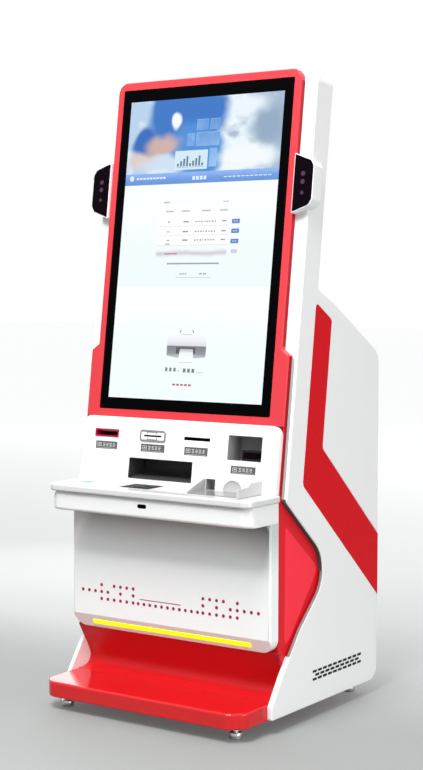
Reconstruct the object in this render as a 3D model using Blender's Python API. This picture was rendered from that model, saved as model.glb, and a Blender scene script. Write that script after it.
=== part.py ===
"""Free-standing self-service banking terminal, built as separate pieces.

Frame: +Z up, the user stands at -Y and the service door is at +Y. X runs across the width.
The origin is on the floor, under the middle of the whole machine. All lengths are in metres.
The display head leans back, so its pieces are modelled in a local frame (x, d, s):
d is the depth behind the display's face and s runs up that face. HEAD places that frame.
"""

import math

import bmesh
import bpy
from mathutils import Matrix, Vector

# ---- driving dimensions -------------------------------------------------------------------
GAP = 0.0003              # clearance between pieces that touch
OUTER_HW = 0.3875         # half-width over the two side panels
BODY_HW = 0.3710          # half-width of everything between the side panels
HALF_DEPTH = 0.3885       # half of the depth, base front to rear door
SHEET = 0.003             # sheet metal thickness
PANEL_SKIN = 0.0025       # moulded front panel thickness

TILT = math.radians(7.53)           # backward lean of the display
PIVOT_Y = -0.1505                   # where s = 0, d = 0 lies
PIVOT_Z = 0.9572
SHELL_D = 0.0195                    # white head shell's front plane, behind the display face
HEAD_D = 0.112                      # back of the head
HEAD_TOP = 1.010                    # top of the head, along s
CAP_S = 0.965                       # side panels end here and the rounded cap begins
HEAD_CORNER = 0.044

GLASS_HW = 0.3197
GLASS_S = (-0.036, 0.980)
BEZEL_HW = 0.344
BEZEL_TOP = 1.006
BEZEL_STEP = (0.149, 0.168)         # the bezel widens between these two heights

PANEL_HW = 0.3685                   # control panel
PANEL_TOP = -0.061
PANEL_D = (-0.019, 0.0047)

BASE_Z = (0.040, 0.088)
BASE_CHAMFER = 0.039
BASE_REAR = 0.366
FOOT_X = 0.315
FOOT_Y = (-0.3225, 0.3355)

DESK_Z = (0.675, 0.697)
DESK_HW = 0.375
DESK_FRONT = -0.350
APRON_Z = 0.616
APRON_FRONT = -0.340

KNEE_Z = (0.232, APRON_Z - GAP)
KNEE_Y = (-0.2275, -0.1843)
SCOOP_HW = 0.360
SCOOP_DEPTH = 0.080
SCOOP_START = 0.400

DOOR_Z = (0.160, 1.042)
DOOR_Y = (0.3765, HALF_DEPTH)
DOOR_HW = 0.3685
HINGE = (-0.3645, 0.3845)
LOCK = (0.335, 0.600)

KEY_PAD = (-0.0820, -0.2500)         # centre of the PIN pad on the desk
KEY_PITCH = (0.0245, 0.0185)
KEY_SIZE = (0.0190, 0.0135)
KEY_COUNT = (4, 4)
PAD_SIZE = (0.110, 0.083)

ROUND = 24                          # sides of a full circle

SCENE = bpy.context.scene


# ---- tools --------------------------------------------------------------------------------
def clear_scene():
    for old in list(bpy.data.objects):
        bpy.data.objects.remove(old, do_unlink=True)


def finish_material(name, color, roughness, metallic=0.0):
    made = bpy.data.materials.new(name)
    made.use_nodes = True
    shader = made.node_tree.nodes["Principled BSDF"]
    shader.inputs["Base Color"].default_value = (*color, 1.0)
    shader.inputs["Roughness"].default_value = roughness
    shader.inputs["Metallic"].default_value = metallic
    return made


def rounded(corners, steps=5):
    """Outline from (u, v) or (u, v, radius) corners: each radius becomes an arc."""
    out = []
    count = len(corners)
    for i, corner in enumerate(corners):
        here = Vector(corner[:2])
        radius = corner[2] if len(corner) > 2 else 0.0
        if radius <= 0.0:
            out.append(tuple(here))
            continue
        back = (Vector(corners[i - 1][:2]) - here).normalized()
        ahead = (Vector(corners[(i + 1) % count][:2]) - here).normalized()
        half = back.angle(ahead) / 2
        reach = radius / math.tan(half)
        centre = here + (back + ahead).normalized() * (radius / math.sin(half))
        start = here + back * reach - centre
        end = here + ahead * reach - centre
        sweep = math.copysign(math.pi - 2 * half, start.cross(end))
        for k in range(steps + 1):
            turn = Matrix.Rotation(sweep * k / steps, 2)
            out.append(tuple(centre + turn @ start))
    return out


def box_outline(u, v, radius=0.0):
    """Rectangle (u low, u high) by (v low, v high), with equal corner radii."""
    return [(u[0], v[0], radius), (u[1], v[0], radius), (u[1], v[1], radius), (u[0], v[1], radius)]


def circle(centre, radius, sides=ROUND):
    turns = (2 * math.pi * k / sides for k in range(sides))
    return [(centre[0] + radius * math.cos(a), centre[1] + radius * math.sin(a)) for a in turns]


PLACE = {
    "x": lambda u, v, w: (w, u, v),
    "y": lambda u, v, w: (u, w, v),
    "z": lambda u, v, w: (u, v, w),
}


def prism_mesh(outline, axis, low, high):
    """A closed prism: the outline lies across axis and runs from low to high along it."""
    bm = bmesh.new()
    rings = []
    for level in (low, high):
        rings.append([bm.verts.new(PLACE[axis](u, v, level)) for u, v in outline])
    count = len(outline)
    bm.faces.new(rings[0])
    bm.faces.new(rings[1])
    for i in range(count):
        j = (i + 1) % count
        bm.faces.new((rings[0][i], rings[0][j], rings[1][j], rings[1][i]))
    bmesh.ops.recalc_face_normals(bm, faces=bm.faces)
    return bm


def add(name, bm, material=None, parent=None):
    mesh = bpy.data.meshes.new(name)
    bm.to_mesh(mesh)
    bm.free()
    made = bpy.data.objects.new(name, mesh)
    SCENE.collection.objects.link(made)
    if material is not None:
        mesh.materials.append(material)
    made.parent = parent
    return made


def prism(name, corners, axis, span, material=None, parent=None, steps=5):
    return add(name, prism_mesh(rounded(corners, steps), axis, *span), material, parent)


def combine(target, tool, operation):
    """Joins tool to target, or cuts it away, and leaves the tool as a hidden guide."""
    step = target.modifiers.new(operation.lower(), "BOOLEAN")
    step.operation = operation
    step.solver = "EXACT"
    step.object = tool
    tool.hide_render = True
    tool.display_type = "WIRE"
    return target


def cut(target, corners, axis, span, parent=None, steps=5):
    tool = prism("guide_cut", corners, axis, span, None, parent, steps)
    return combine(target, tool, "DIFFERENCE")


def join(target, corners, axis, span, parent=None, steps=5):
    tool = prism("guide_join", corners, axis, span, None, parent, steps)
    return combine(target, tool, "UNION")


def band(path, thickness):
    """Closed outline of a sheet that follows path, with its thickness on the path's right."""
    inner = []
    for i, point in enumerate(path):
        here = Vector(point)
        before = here - Vector(path[i - 1]) if i > 0 else None
        after = Vector(path[i + 1]) - here if i < len(path) - 1 else None
        before = (before or after).normalized()
        after = (after or before).normalized()
        right = Vector((before.y, -before.x)) + Vector((after.y, -after.x))
        right.normalize()
        stretch = max(0.5, right.dot(Vector((after.y, -after.x))))
        inner.append(tuple(here + right * (thickness / stretch)))
    return list(path) + inner[::-1]


def head_yz(d, s):
    """World (y, z) of the head's depth d and height s."""
    y = PIVOT_Y + d * math.cos(TILT) + s * math.sin(TILT)
    z = PIVOT_Z - d * math.sin(TILT) + s * math.cos(TILT)
    return (y, z)


def head_s(z, d):
    """Height s along the head at world height z and depth d."""
    return (z - PIVOT_Z + d * math.sin(TILT)) / math.cos(TILT)


# ---- scene, materials and the leaning frame -----------------------------------------------
clear_scene()

HEAD = bpy.data.objects.new("head_frame", None)
HEAD.location = (0.0, PIVOT_Y, PIVOT_Z)
HEAD.rotation_euler = (-TILT, 0.0, 0.0)
SCENE.collection.objects.link(HEAD)

WHITE = finish_material("white_paint", (0.88, 0.88, 0.87), 0.32)
RED = finish_material("red_paint", (0.72, 0.03, 0.05), 0.30)
BRIGHT_RED = finish_material("red_inlay", (0.60, 0.01, 0.02), 0.25)
BLACK = finish_material("black_plastic", (0.02, 0.02, 0.02), 0.35)
GLASS = finish_material("display_glass", (0.01, 0.01, 0.012), 0.06)
GREY = finish_material("grey_plastic", (0.45, 0.46, 0.47), 0.45)
STEEL = finish_material("zinc_steel", (0.62, 0.63, 0.65), 0.35, 1.0)
CHROME = finish_material("chrome", (0.80, 0.80, 0.82), 0.12, 1.0)
YELLOW = finish_material("light_strip", (1.0, 0.95, 0.02), 0.4)
PAPER = finish_material("paper", (0.9, 0.9, 0.88), 0.8)

SIDES = (("left", -1.0), ("right", 1.0))


def mirrored_span(sign, near, far):
    """Span along x between two distances from the middle, on the side that sign names."""
    return tuple(sorted((sign * near, sign * far)))


# ---- base, feet ---------------------------------------------------------------------------
KICK_PATH = [(-0.1990, KNEE_Z[0] - GAP), (-0.1600, 0.1665), (-0.1420, 0.1330)]
COVE_CENTRE = (-0.1742, 0.1220)
COVE_RADIUS = 0.034


def kick_surface():
    """Side profile of the toe space, from under the knee panel down to the step."""
    arc = []
    for k in range(7):
        turn = math.radians(12 - 17 * k)
        arc.append(
            (COVE_CENTRE[0] + COVE_RADIUS * math.cos(turn), COVE_CENTRE[1] + COVE_RADIUS * math.sin(turn))
        )
    return KICK_PATH[:2] + arc


def make_base():
    front = -HALF_DEPTH
    inner_x = BODY_HW - BASE_CHAMFER
    outline = [
        (-inner_x, front, 0.040),
        (inner_x, front, 0.040),
        (BODY_HW, front + BASE_CHAMFER, 0.040),
        (BODY_HW, BASE_REAR),
        (-BODY_HW, BASE_REAR),
        (-BODY_HW, front + BASE_CHAMFER, 0.040),
    ]
    base = prism("base_plinth", outline, "z", BASE_Z, RED)
    top = kick_surface()
    behind = [(y + 0.0040, z) for y, z in reversed(top[:2])]
    step = BASE_Z[1] - 0.0040
    upstand = top + [(-0.2165, BASE_Z[1] - 0.0002), (-0.2165, step), (-0.1350, step), (-0.1365, 0.1240)]
    upstand += behind
    join(base, upstand, "x", (-BODY_HW, BODY_HW))
    under = [
        (-inner_x + 0.002, front + SHEET, 0.035),
        (inner_x - 0.002, front + SHEET, 0.035),
        (BODY_HW - SHEET, front + BASE_CHAMFER + 0.002, 0.035),
        (BODY_HW - SHEET, BASE_REAR - SHEET),
        (-BODY_HW + SHEET, BASE_REAR - SHEET),
        (-BODY_HW + SHEET, front + BASE_CHAMFER + 0.002, 0.035),
    ]
    cut(base, under, "z", (BASE_Z[0] - 0.01, BASE_Z[1] - 0.0045))


def make_foot(name, x, y):
    """Levelling foot: a stout round pad, a hexagon nut and a threaded stem."""
    profile = [
        (0.0, 0.0), (0.0172, 0.0), (0.019, 0.002), (0.019, 0.018), (0.016, 0.0205), (0.008, 0.021),
        (0.006, 0.023), (0.006, 0.0825), (0.0, 0.0825),
    ]
    bm = bmesh.new()
    points = [bm.verts.new((r, 0.0, z)) for r, z in profile]
    edges = [bm.edges.new(pair) for pair in zip(points, points[1:])]
    bmesh.ops.spin(
        bm, geom=points + edges, cent=(0, 0, 0), axis=(0, 0, 1), angle=2 * math.pi, steps=ROUND
    )
    bmesh.ops.remove_doubles(bm, verts=bm.verts, dist=1e-5)
    bmesh.ops.recalc_face_normals(bm, faces=bm.faces)
    foot = add(name, bm, CHROME)
    foot.location = (x, y, 0.0)
    nut = prism("guide_nut", circle((x, y), 0.0115, 6), "z", (0.024, 0.034))
    combine(foot, nut, "UNION")


make_base()
for row, foot_y in zip(("front", "rear"), FOOT_Y):
    for side, sign in SIDES:
        make_foot(f"foot_{row}_{side}", sign * FOOT_X, foot_y)


# ---- side panels and their inlays ---------------------------------------------------------
def side_outline():
    shell_front = head_s(0.676, SHELL_D)
    return [
        (-0.2425, 0.042, 0.006),
        (-0.2425, 0.083, 0.010),
        (-0.1805, 0.172, 0.300),
        (-0.0875, 0.285, 0.300),
        (0.0970, 0.4509, 0.105),
        (*head_yz(SHELL_D, shell_front), 0.012),
        head_yz(SHELL_D, CAP_S),
        head_yz(HEAD_D, CAP_S),
        (*head_yz(HEAD_D, head_s(1.300, HEAD_D)), 0.010),
        (0.1000, 1.2570, 0.300),
        (HALF_DEPTH, 1.0950, 0.065),
        (HALF_DEPTH, 0.042, 0.045),
    ]


STRIPE_D = (0.105, 0.2035)


def stripe_outline(grow):
    """Bent stripe: it runs down with the head's lean, then slopes to the rear edge."""
    front = STRIPE_D[0] - grow
    rear = STRIPE_D[1] + grow
    back_y = HALF_DEPTH - 0.0006 + grow * 8
    lift = grow * 1.33
    return [
        (*head_yz(front, head_s(1.259, front) + grow * 1.3), 0.010),
        (*head_yz(rear, head_s(1.206, rear) + grow * 1.3), 0.016),
        (*head_yz(rear, head_s(0.818, rear) + lift), 0.020),
        (back_y, 0.5135 + lift),
        (back_y, 0.3170 - grow * 9),
        (*head_yz(front, head_s(0.717, front) - lift * 0.4), 0.025),
    ]


VENT_ROWS = ((0.142, 0.0, 10), (0.131, 0.5, 9), (0.120, 0.0, 10))
VENT_PITCH = 0.0303
VENT_SLOT = (0.0205, 0.0050)
INLAY = 0.0016


def make_side(side, sign):
    panel = prism(
        f"side_panel_{side}", side_outline(), "x", mirrored_span(sign, BODY_HW + GAP, OUTER_HW), WHITE
    )
    floor = OUTER_HW - INLAY
    cut(panel, stripe_outline(GAP), "x", mirrored_span(sign, floor, OUTER_HW + 0.01))
    for level, shift, count in VENT_ROWS:
        for k in range(count):
            middle = -0.001 + (k + shift) * VENT_PITCH
            slot = box_outline(
                (middle - VENT_SLOT[0] / 2, middle + VENT_SLOT[0] / 2),
                (level - VENT_SLOT[1] / 2, level + VENT_SLOT[1] / 2),
            )
            cut(panel, slot, "x", mirrored_span(sign, BODY_HW - 0.01, OUTER_HW + 0.01))
    span = mirrored_span(sign, floor + GAP, OUTER_HW)
    prism(f"side_stripe_{side}", stripe_outline(0.0), "x", span, BRIGHT_RED)


for side, sign in SIDES:
    make_side(side, sign)


# ---- inner walls --------------------------------------------------------------------------
HEAD_SPLIT = 0.300                  # the head shell's own side walls start here, along s
LUG_TOP = (1.0435, 1.0470)
LUG_FOOT = (0.1540, 0.1575)


def wall_outline():
    knee = KNEE_Y[1] + GAP
    panel_back = PANEL_D[1] + GAP
    flange_back = SHELL_D + SHEET + GAP
    return [
        (-0.1320, 0.0886),
        (-0.1320, 0.1300),
        (-0.1520, 0.1680),
        (knee, 0.2320),
        (knee, 0.6600),
        head_yz(panel_back, head_s(0.7000, panel_back)),
        head_yz(panel_back, PANEL_TOP),
        head_yz(flange_back, PANEL_TOP),
        head_yz(flange_back, HEAD_SPLIT - GAP),
        head_yz(HEAD_D + 0.0010, HEAD_SPLIT - GAP),
        (0.1000, 1.2480),
        (0.3300, 1.1150),
        (0.3750, 1.0700, 0.02),
        (0.3750, 0.0886),
    ]


def make_walls():
    walls = {}
    for side, sign in SIDES:
        span = mirrored_span(sign, BODY_HW - SHEET, BODY_HW)
        walls[side] = prism(f"inner_wall_{side}", wall_outline(), "x", span, RED)
    for span in (LUG_TOP, LUG_FOOT):
        lug = box_outline((-BODY_HW, HINGE[0] + 0.0075), (0.3700, 0.3882))
        join(walls["left"], lug, "z", span)
        cut(walls["left"], circle(HINGE, 0.0034, 16), "z", (span[0] - 0.01, span[1] + 0.01))
    striker = box_outline((0.3520, BODY_HW - 0.001), (LOCK[1] - 0.016, LOCK[1] + 0.016))
    join(walls["right"], striker, "y", (0.3705, 0.3735))


make_walls()


# ---- head: shell, rear cover, bezel, glass, display ---------------------------------------
def make_head_shell():
    low = 0.150
    shape = [
        (-BODY_HW, low),
        (BODY_HW, low),
        (BODY_HW, CAP_S + GAP),
        (OUTER_HW, CAP_S + GAP),
        (OUTER_HW, HEAD_TOP, HEAD_CORNER),
        (-OUTER_HW, HEAD_TOP, HEAD_CORNER),
        (-OUTER_HW, CAP_S + GAP),
        (-BODY_HW, CAP_S + GAP),
    ]
    shell = prism("head_shell", shape, "y", (SHELL_D, HEAD_D), WHITE, HEAD, 8)
    inner = BODY_HW - SHEET
    outer = BODY_HW + 0.01
    pocket = [
        (-outer, low - 0.01),
        (outer, low - 0.01),
        (outer, HEAD_SPLIT),
        (inner, HEAD_SPLIT),
        (inner, HEAD_TOP - SHEET, 0.03),
        (-inner, HEAD_TOP - SHEET, 0.03),
        (-inner, HEAD_SPLIT),
        (-outer, HEAD_SPLIT),
    ]
    cut(shell, pocket, "y", (SHELL_D + SHEET, HEAD_D + 0.01), HEAD)
    window = box_outline((-0.3300, 0.3300), (low - 0.02, 0.990))
    cut(shell, window, "y", (SHELL_D - 0.01, SHELL_D + SHEET + 0.01), HEAD)


FAN_S = 0.640
FAN_RING = (0.017, 0.046)


def fan_sector(quarter):
    """One quarter of the fan's opening, between the spokes of its guard."""
    start = math.radians(90 * quarter + 6)
    sweep = math.radians(78)
    outer = []
    inner = []
    for k in range(7):
        turn = start + sweep * k / 6
        outer.append((FAN_RING[1] * math.cos(turn), FAN_S + FAN_RING[1] * math.sin(turn)))
        inner.append((FAN_RING[0] * math.cos(turn), FAN_S + FAN_RING[0] * math.sin(turn)))
    return outer + inner[::-1]


def make_head_rear():
    inner = BODY_HW - SHEET - GAP
    low = head_s(1.302, HEAD_D)
    shape = [
        (-inner, low),
        (inner, low),
        (inner, HEAD_TOP - SHEET - GAP, 0.03),
        (-inner, HEAD_TOP - SHEET - GAP, 0.03),
    ]
    cover = prism("head_rear_cover", shape, "y", (HEAD_D - SHEET, HEAD_D - 0.0002), WHITE, HEAD)
    for quarter in range(4):
        cut(cover, fan_sector(quarter), "y", (HEAD_D - 0.02, HEAD_D + 0.02), HEAD)
    for bank in (-1.0, 1.0):
        for k in range(6):
            level = 0.760 + 0.022 * k
            slot = box_outline((bank * 0.17 - 0.07, bank * 0.17 + 0.07), (level, level + 0.007))
            cut(cover, slot, "y", (HEAD_D - 0.02, HEAD_D + 0.02), HEAD)


def make_fan():
    """Fan rotor on the head's rear cover: a hub with seven flat blades."""
    depth = (HEAD_D - 0.028, HEAD_D - 0.006)
    rotor = prism("fan_rotor", circle((0.0, FAN_S), 0.015), "y", depth, BLACK, HEAD)
    join(rotor, circle((0.0, FAN_S), 0.008, 12), "y", (depth[0] + 0.010, HEAD_D - SHEET - GAP), HEAD)
    for k in range(7):
        turn = 2 * math.pi * k / 7
        along = Vector((math.cos(turn), math.sin(turn)))
        across = Vector((-along.y, along.x)) * 0.006
        root = along * 0.012
        tip = along * 0.043
        ring = [root - across * 0.4, tip - across, tip + across, root + across * 0.4]
        blade = [(p.x, p.y + FAN_S) for p in ring]
        join(rotor, blade, "y", (depth[0] + 0.004, depth[1] - 0.004), HEAD)


def bezel_outline():
    low = PANEL_TOP + GAP
    return [
        (-BODY_HW + 0.001, low),
        (BODY_HW - 0.001, low),
        (BODY_HW - 0.001, BEZEL_STEP[0], 0.008),
        (BEZEL_HW, BEZEL_STEP[1], 0.008),
        (BEZEL_HW, BEZEL_TOP, 0.033),
        (-BEZEL_HW, BEZEL_TOP, 0.033),
        (-BEZEL_HW, BEZEL_STEP[1], 0.008),
        (-BODY_HW + 0.001, BEZEL_STEP[0], 0.008),
    ]


def make_display():
    bezel = prism("display_bezel", bezel_outline(), "y", (0.0, SHELL_D - GAP), RED, HEAD)
    hole = box_outline((-GLASS_HW - GAP, GLASS_HW + GAP), (GLASS_S[0] - GAP, GLASS_S[1] + GAP))
    cut(bezel, hole, "y", (-0.01, 0.04), HEAD)
    glass = box_outline((-GLASS_HW, GLASS_HW), GLASS_S)
    prism("display_glass", glass, "y", (0.0002, 0.0042), GLASS, HEAD)
    screen = box_outline((-0.3050, 0.3050), (-0.0200, 0.9640), 0.004)
    module = prism("lcd_module", screen, "y", (0.0046, 0.0400), STEEL, HEAD, 2)
    inside = box_outline((-0.3030, 0.3030), (-0.0180, 0.9620))
    cut(module, inside, "y", (0.0076, 0.0500), HEAD)


make_head_shell()
make_head_rear()
make_fan()
make_display()


# ---- camera modules on both sides of the display ------------------------------------------
CAMERA_X = (0.3446, 0.4140)
CAMERA_S = 0.659
CAMERA_HALF = (0.090, 0.051)        # half-heights at the inner and the outer edge


def camera_outline(sign, inset):
    near = CAMERA_X[0] + inset
    far = CAMERA_X[1] - inset
    tall = CAMERA_HALF[0] - inset * 1.4
    short = CAMERA_HALF[1] - inset * 1.1
    knee = far - 0.022
    half = [(near, tall), (near + 0.010, tall), (knee + 0.012, short + 0.014), (far, short - 0.004)]
    upper = [(sign * x, CAMERA_S + h) for x, h in half]
    lower = [(sign * x, CAMERA_S - h) for x, h in reversed(half)]
    return upper + lower


def make_camera(side, sign):
    body = prism(f"camera_housing_{side}", camera_outline(sign, 0.0), "y", (-0.0080, 0.045), WHITE, HEAD)
    relief = box_outline(mirrored_span(sign, 0.30, OUTER_HW + GAP), (0.50, 0.83))
    cut(body, relief, "y", (SHELL_D - GAP, 0.06), HEAD)
    cut(body, camera_outline(sign, 0.0032), "y", (-0.02, -0.0060), HEAD)
    window = camera_outline(sign, 0.0035)
    prism(f"camera_window_{side}", window, "y", (-0.0076, -0.0063), GLASS, HEAD)


for side, sign in SIDES:
    make_camera(side, sign)


# ---- control panel and what is mounted in it ----------------------------------------------
RECEIPT_X = (-0.3125, -0.2195)
RECEIPT_S = (-0.126, -0.101)
CARD_X = (-0.1365, -0.0365)
CARD_S = (-0.133, -0.096)
CARD_SLOT = ((-0.1200, -0.0530), (-0.1190, -0.1100))
PASS_X = (0.0315, 0.1270)
PASS_S = (-0.120, -0.110)
OUTLET_X = (-0.1725, 0.0690)
OUTLET_S = (-0.249, -0.185)
SCAN_X = (0.1930, 0.3135)
SCAN_S = (-0.170, -0.096)
SCAN_DEPTH = 0.055
READER_LEFT = 0.2290
NOTCH_X = (0.1220, 0.1570)
NOTCH_TOP = -0.231


def inset_box(u, v, amount):
    return box_outline((u[0] + amount, u[1] - amount), (v[0] + amount, v[1] - amount))


def make_control_panel():
    low = -0.275
    skin = PANEL_D[0] + PANEL_SKIN
    shape = [
        (-PANEL_HW, low),
        (PANEL_HW, low),
        (PANEL_HW, PANEL_TOP, 0.030),
        (-PANEL_HW, PANEL_TOP, 0.030),
    ]
    panel = prism("control_panel", shape, "y", PANEL_D, WHITE, HEAD)
    side = PANEL_HW - PANEL_SKIN
    pocket = [
        (-side, low - 0.01),
        (side, low - 0.01),
        (side, PANEL_TOP - PANEL_SKIN, 0.028),
        (-side, PANEL_TOP - PANEL_SKIN, 0.028),
    ]
    cut(panel, pocket, "y", (skin, 0.05), HEAD)
    liner = inset_box(SCAN_X, SCAN_S, -PANEL_SKIN)
    join(panel, liner, "y", (PANEL_D[0] + 0.0005, SCAN_DEPTH + PANEL_SKIN), HEAD)
    through = (PANEL_D[0] - 0.01, skin + 0.01)
    cut(panel, inset_box(SCAN_X, SCAN_S, 0.0), "y", (PANEL_D[0] - 0.01, SCAN_DEPTH), HEAD)
    cut(panel, inset_box(RECEIPT_X, RECEIPT_S, 0.0025), "y", through, HEAD)
    cut(panel, inset_box(CARD_X, CARD_S, 0.006), "y", through, HEAD)
    cut(panel, inset_box(PASS_X, PASS_S, 0.0), "y", through, HEAD)
    cut(panel, inset_box(OUTLET_X, OUTLET_S, 0.0), "y", through, HEAD)
    cut(panel, box_outline(NOTCH_X, (low - 0.02, NOTCH_TOP)), "y", through, HEAD)
    below = box_outline((-0.5, 0.5), (-0.35, 0.05))
    cut(panel, below, "z", (0.55, DESK_Z[1] + GAP))


def make_bezels():
    """Slot bezels: a raised flange and a neck that passes through the panel."""
    front = PANEL_D[0] - GAP
    neck_back = PANEL_D[0] + 0.008
    receipt = prism(
        "receipt_bezel", inset_box(RECEIPT_X, RECEIPT_S, 0.0), "y", (front - 0.0015, front), RED, HEAD
    )
    join(receipt, inset_box(RECEIPT_X, RECEIPT_S, 0.0029), "y", (front - 0.0010, neck_back), HEAD)
    cut(receipt, inset_box(RECEIPT_X, RECEIPT_S, 0.0050), "y", (-0.04, 0.02), HEAD)
    flange = [(u, v, 0.008) for u, v, _ in inset_box(CARD_X, CARD_S, 0.0)]
    card = prism("card_bezel", flange, "y", (front - 0.0030, front), GREY, HEAD)
    join(card, inset_box(CARD_X, CARD_S, 0.0064), "y", (front - 0.0010, neck_back), HEAD)
    cut(card, box_outline(*CARD_SLOT), "y", (-0.04, 0.02), HEAD)


CHUTE_D = (-0.0160, 0.1000)
CHUTE_RISE = 0.033


def chute_outline(grow, overrun):
    """Side view (d, s) of the paper chute, which climbs towards the printer."""
    slope = CHUTE_RISE / (CHUTE_D[1] - CHUTE_D[0])
    near = CHUTE_D[0] - overrun
    far = CHUTE_D[1] + overrun
    floor = OUTLET_S[0] - grow
    roof = OUTLET_S[1] + grow
    return [
        (near, floor - overrun * slope),
        (far, floor + CHUTE_RISE + overrun * slope),
        (far, roof + CHUTE_RISE + overrun * slope),
        (near, roof - overrun * slope),
    ]


def make_chute():
    outer = (OUTLET_X[0] - PANEL_SKIN, OUTLET_X[1] + PANEL_SKIN)
    chute = prism("a4_chute", chute_outline(PANEL_SKIN, 0.0), "x", outer, BLACK, HEAD)
    cut(chute, chute_outline(0.0, 0.02), "x", OUTLET_X, HEAD)


def make_scanner():
    """Code reader in the lower right corner of the scanning recess."""
    body = [
        (READER_LEFT, SCAN_S[0] + GAP),
        (SCAN_X[1] - GAP, SCAN_S[0] + GAP),
        (SCAN_X[1] - GAP, SCAN_S[0] + 0.034),
        (READER_LEFT, SCAN_S[0] + 0.034),
    ]
    reader = prism("barcode_scanner", body, "y", (0.004, SCAN_DEPTH - GAP), BLACK, HEAD)
    window = box_outline((READER_LEFT + 0.006, SCAN_X[1] - 0.006), (SCAN_S[0] + 0.007, SCAN_S[0] + 0.027))
    cut(reader, window, "y", (-0.01, 0.0055), HEAD)


def make_card_reader():
    body = prism("card_reader", box_outline((-0.1280, -0.0450), (-0.1465, -0.0880)), "y",
                 (-0.0100, 0.1500), BLACK, HEAD)
    cut(body, box_outline(*CARD_SLOT), "y", (-0.02, 0.1300), HEAD)


ROLL = (0.0850, -0.1450)            # (d, s) of the paper roll's axis
ROLL_RADIUS = 0.032
ROLL_BORE = 0.0065


def make_receipt_printer():
    body = prism("receipt_printer", box_outline((-0.3180, -0.2140), (-0.1900, -0.0900)), "y",
                 (0.0080, 0.1250), BLACK, HEAD)
    well = [(ROLL[0] - 0.036, ROLL[1] - 0.036, 0.03), (0.14, ROLL[1] - 0.036), (0.14, 0.0),
            (ROLL[0] - 0.036, 0.0)]
    cut(body, well, "x", (-0.3080, -0.2240), HEAD)
    join(body, circle(ROLL, ROLL_BORE - 0.0005, 12), "x", (-0.3120, -0.2200), HEAD)
    slot = box_outline((-0.3000, -0.2320), (-0.1205, -0.1065))
    cut(body, slot, "y", (-0.02, 0.0250), HEAD)
    roll = prism("receipt_roll", circle(ROLL, ROLL_RADIUS), "x", (-0.3060, -0.2260), PAPER, HEAD)
    cut(roll, circle(ROLL, ROLL_BORE, 12), "x", (-0.33, -0.20), HEAD)


make_control_panel()
make_bezels()
make_chute()
make_scanner()
make_card_reader()
make_receipt_printer()


# ---- desk, apron, PIN pad, pick-up tray ---------------------------------------------------
DESK_REAR = KNEE_Y[1] - 0.0005
SENSOR_X = (-0.0300, 0.0040)
SENSOR_Z = (0.6450, 0.6580)


def desk_outline(half, front, rear, corner):
    return [(-half, front, corner), (half, front, corner), (half, rear), (-half, rear)]


def make_desk():
    top = prism("desk_top", desk_outline(DESK_HW, DESK_FRONT, DESK_REAR, 0.030), "z", DESK_Z, WHITE,
                None, 8)
    half = (PAD_SIZE[0] / 2 + GAP, PAD_SIZE[1] / 2 + GAP)
    pad = box_outline((KEY_PAD[0] - half[0], KEY_PAD[0] + half[0]), (KEY_PAD[1] - half[1], KEY_PAD[1] + half[1]))
    cut(top, pad, "z", (DESK_Z[0] - 0.01, DESK_Z[1] + 0.01))
    apron = prism("desk_apron", desk_outline(BODY_HW, APRON_FRONT, DESK_REAR, 0.035), "z",
                  (APRON_Z, DESK_Z[0] - GAP), WHITE, None, 8)
    inner = desk_outline(BODY_HW - PANEL_SKIN, APRON_FRONT + PANEL_SKIN, DESK_REAR - PANEL_SKIN, 0.033)
    cut(apron, inner, "z", (APRON_Z + PANEL_SKIN, DESK_Z[0] + 0.01))
    window = [(u, v, 0.0062) for u, v, _ in box_outline(SENSOR_X, SENSOR_Z)]
    cut(apron, window, "y", (APRON_FRONT - 0.01, APRON_FRONT + 0.01))


def key_places():
    for row in range(KEY_COUNT[1]):
        for column in range(KEY_COUNT[0]):
            x = KEY_PAD[0] + (column - (KEY_COUNT[0] - 1) / 2) * KEY_PITCH[0]
            y = KEY_PAD[1] + ((KEY_COUNT[1] - 1) / 2 - row) * KEY_PITCH[1]
            yield row * KEY_COUNT[0] + column + 1, x, y


def make_pin_pad():
    half = (PAD_SIZE[0] / 2, PAD_SIZE[1] / 2)
    plate = box_outline((KEY_PAD[0] - half[0], KEY_PAD[0] + half[0]), (KEY_PAD[1] - half[1], KEY_PAD[1] + half[1]))
    frame = prism("pin_pad_frame", plate, "z", (DESK_Z[0] + 0.0090, DESK_Z[1] + 0.0008), BLACK)
    for number, x, y in key_places():
        wide = KEY_SIZE[0] / 2
        deep = KEY_SIZE[1] / 2
        hole = box_outline((x - wide - 0.0004, x + wide + 0.0004), (y - deep - 0.0004, y + deep + 0.0004))
        cut(frame, hole, "z", (DESK_Z[1] - 0.0090, DESK_Z[1] + 0.02))
        cap = prism_mesh(rounded(box_outline((-wide, wide), (-deep, deep))), "z", 0.0, 0.0100)
        key = add(f"key_{number:02d}", cap, STEEL)
        key.location = (x, y, DESK_Z[1] - 0.0075)
        edge = key.modifiers.new("edge", "BEVEL")
        edge.width = 0.0012
        edge.segments = 1


TRAY_X = (0.1150, 0.3225)
TRAY_Y = (-0.3000, -0.2100)
CHEEK_THICK = 0.0062
CHEEK_BACK = ((-0.2047, 0.0), (-0.2003, 0.0340))
TALL_BACK = ((-0.2047, 0.0), (-0.1994, 0.0400))


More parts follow.
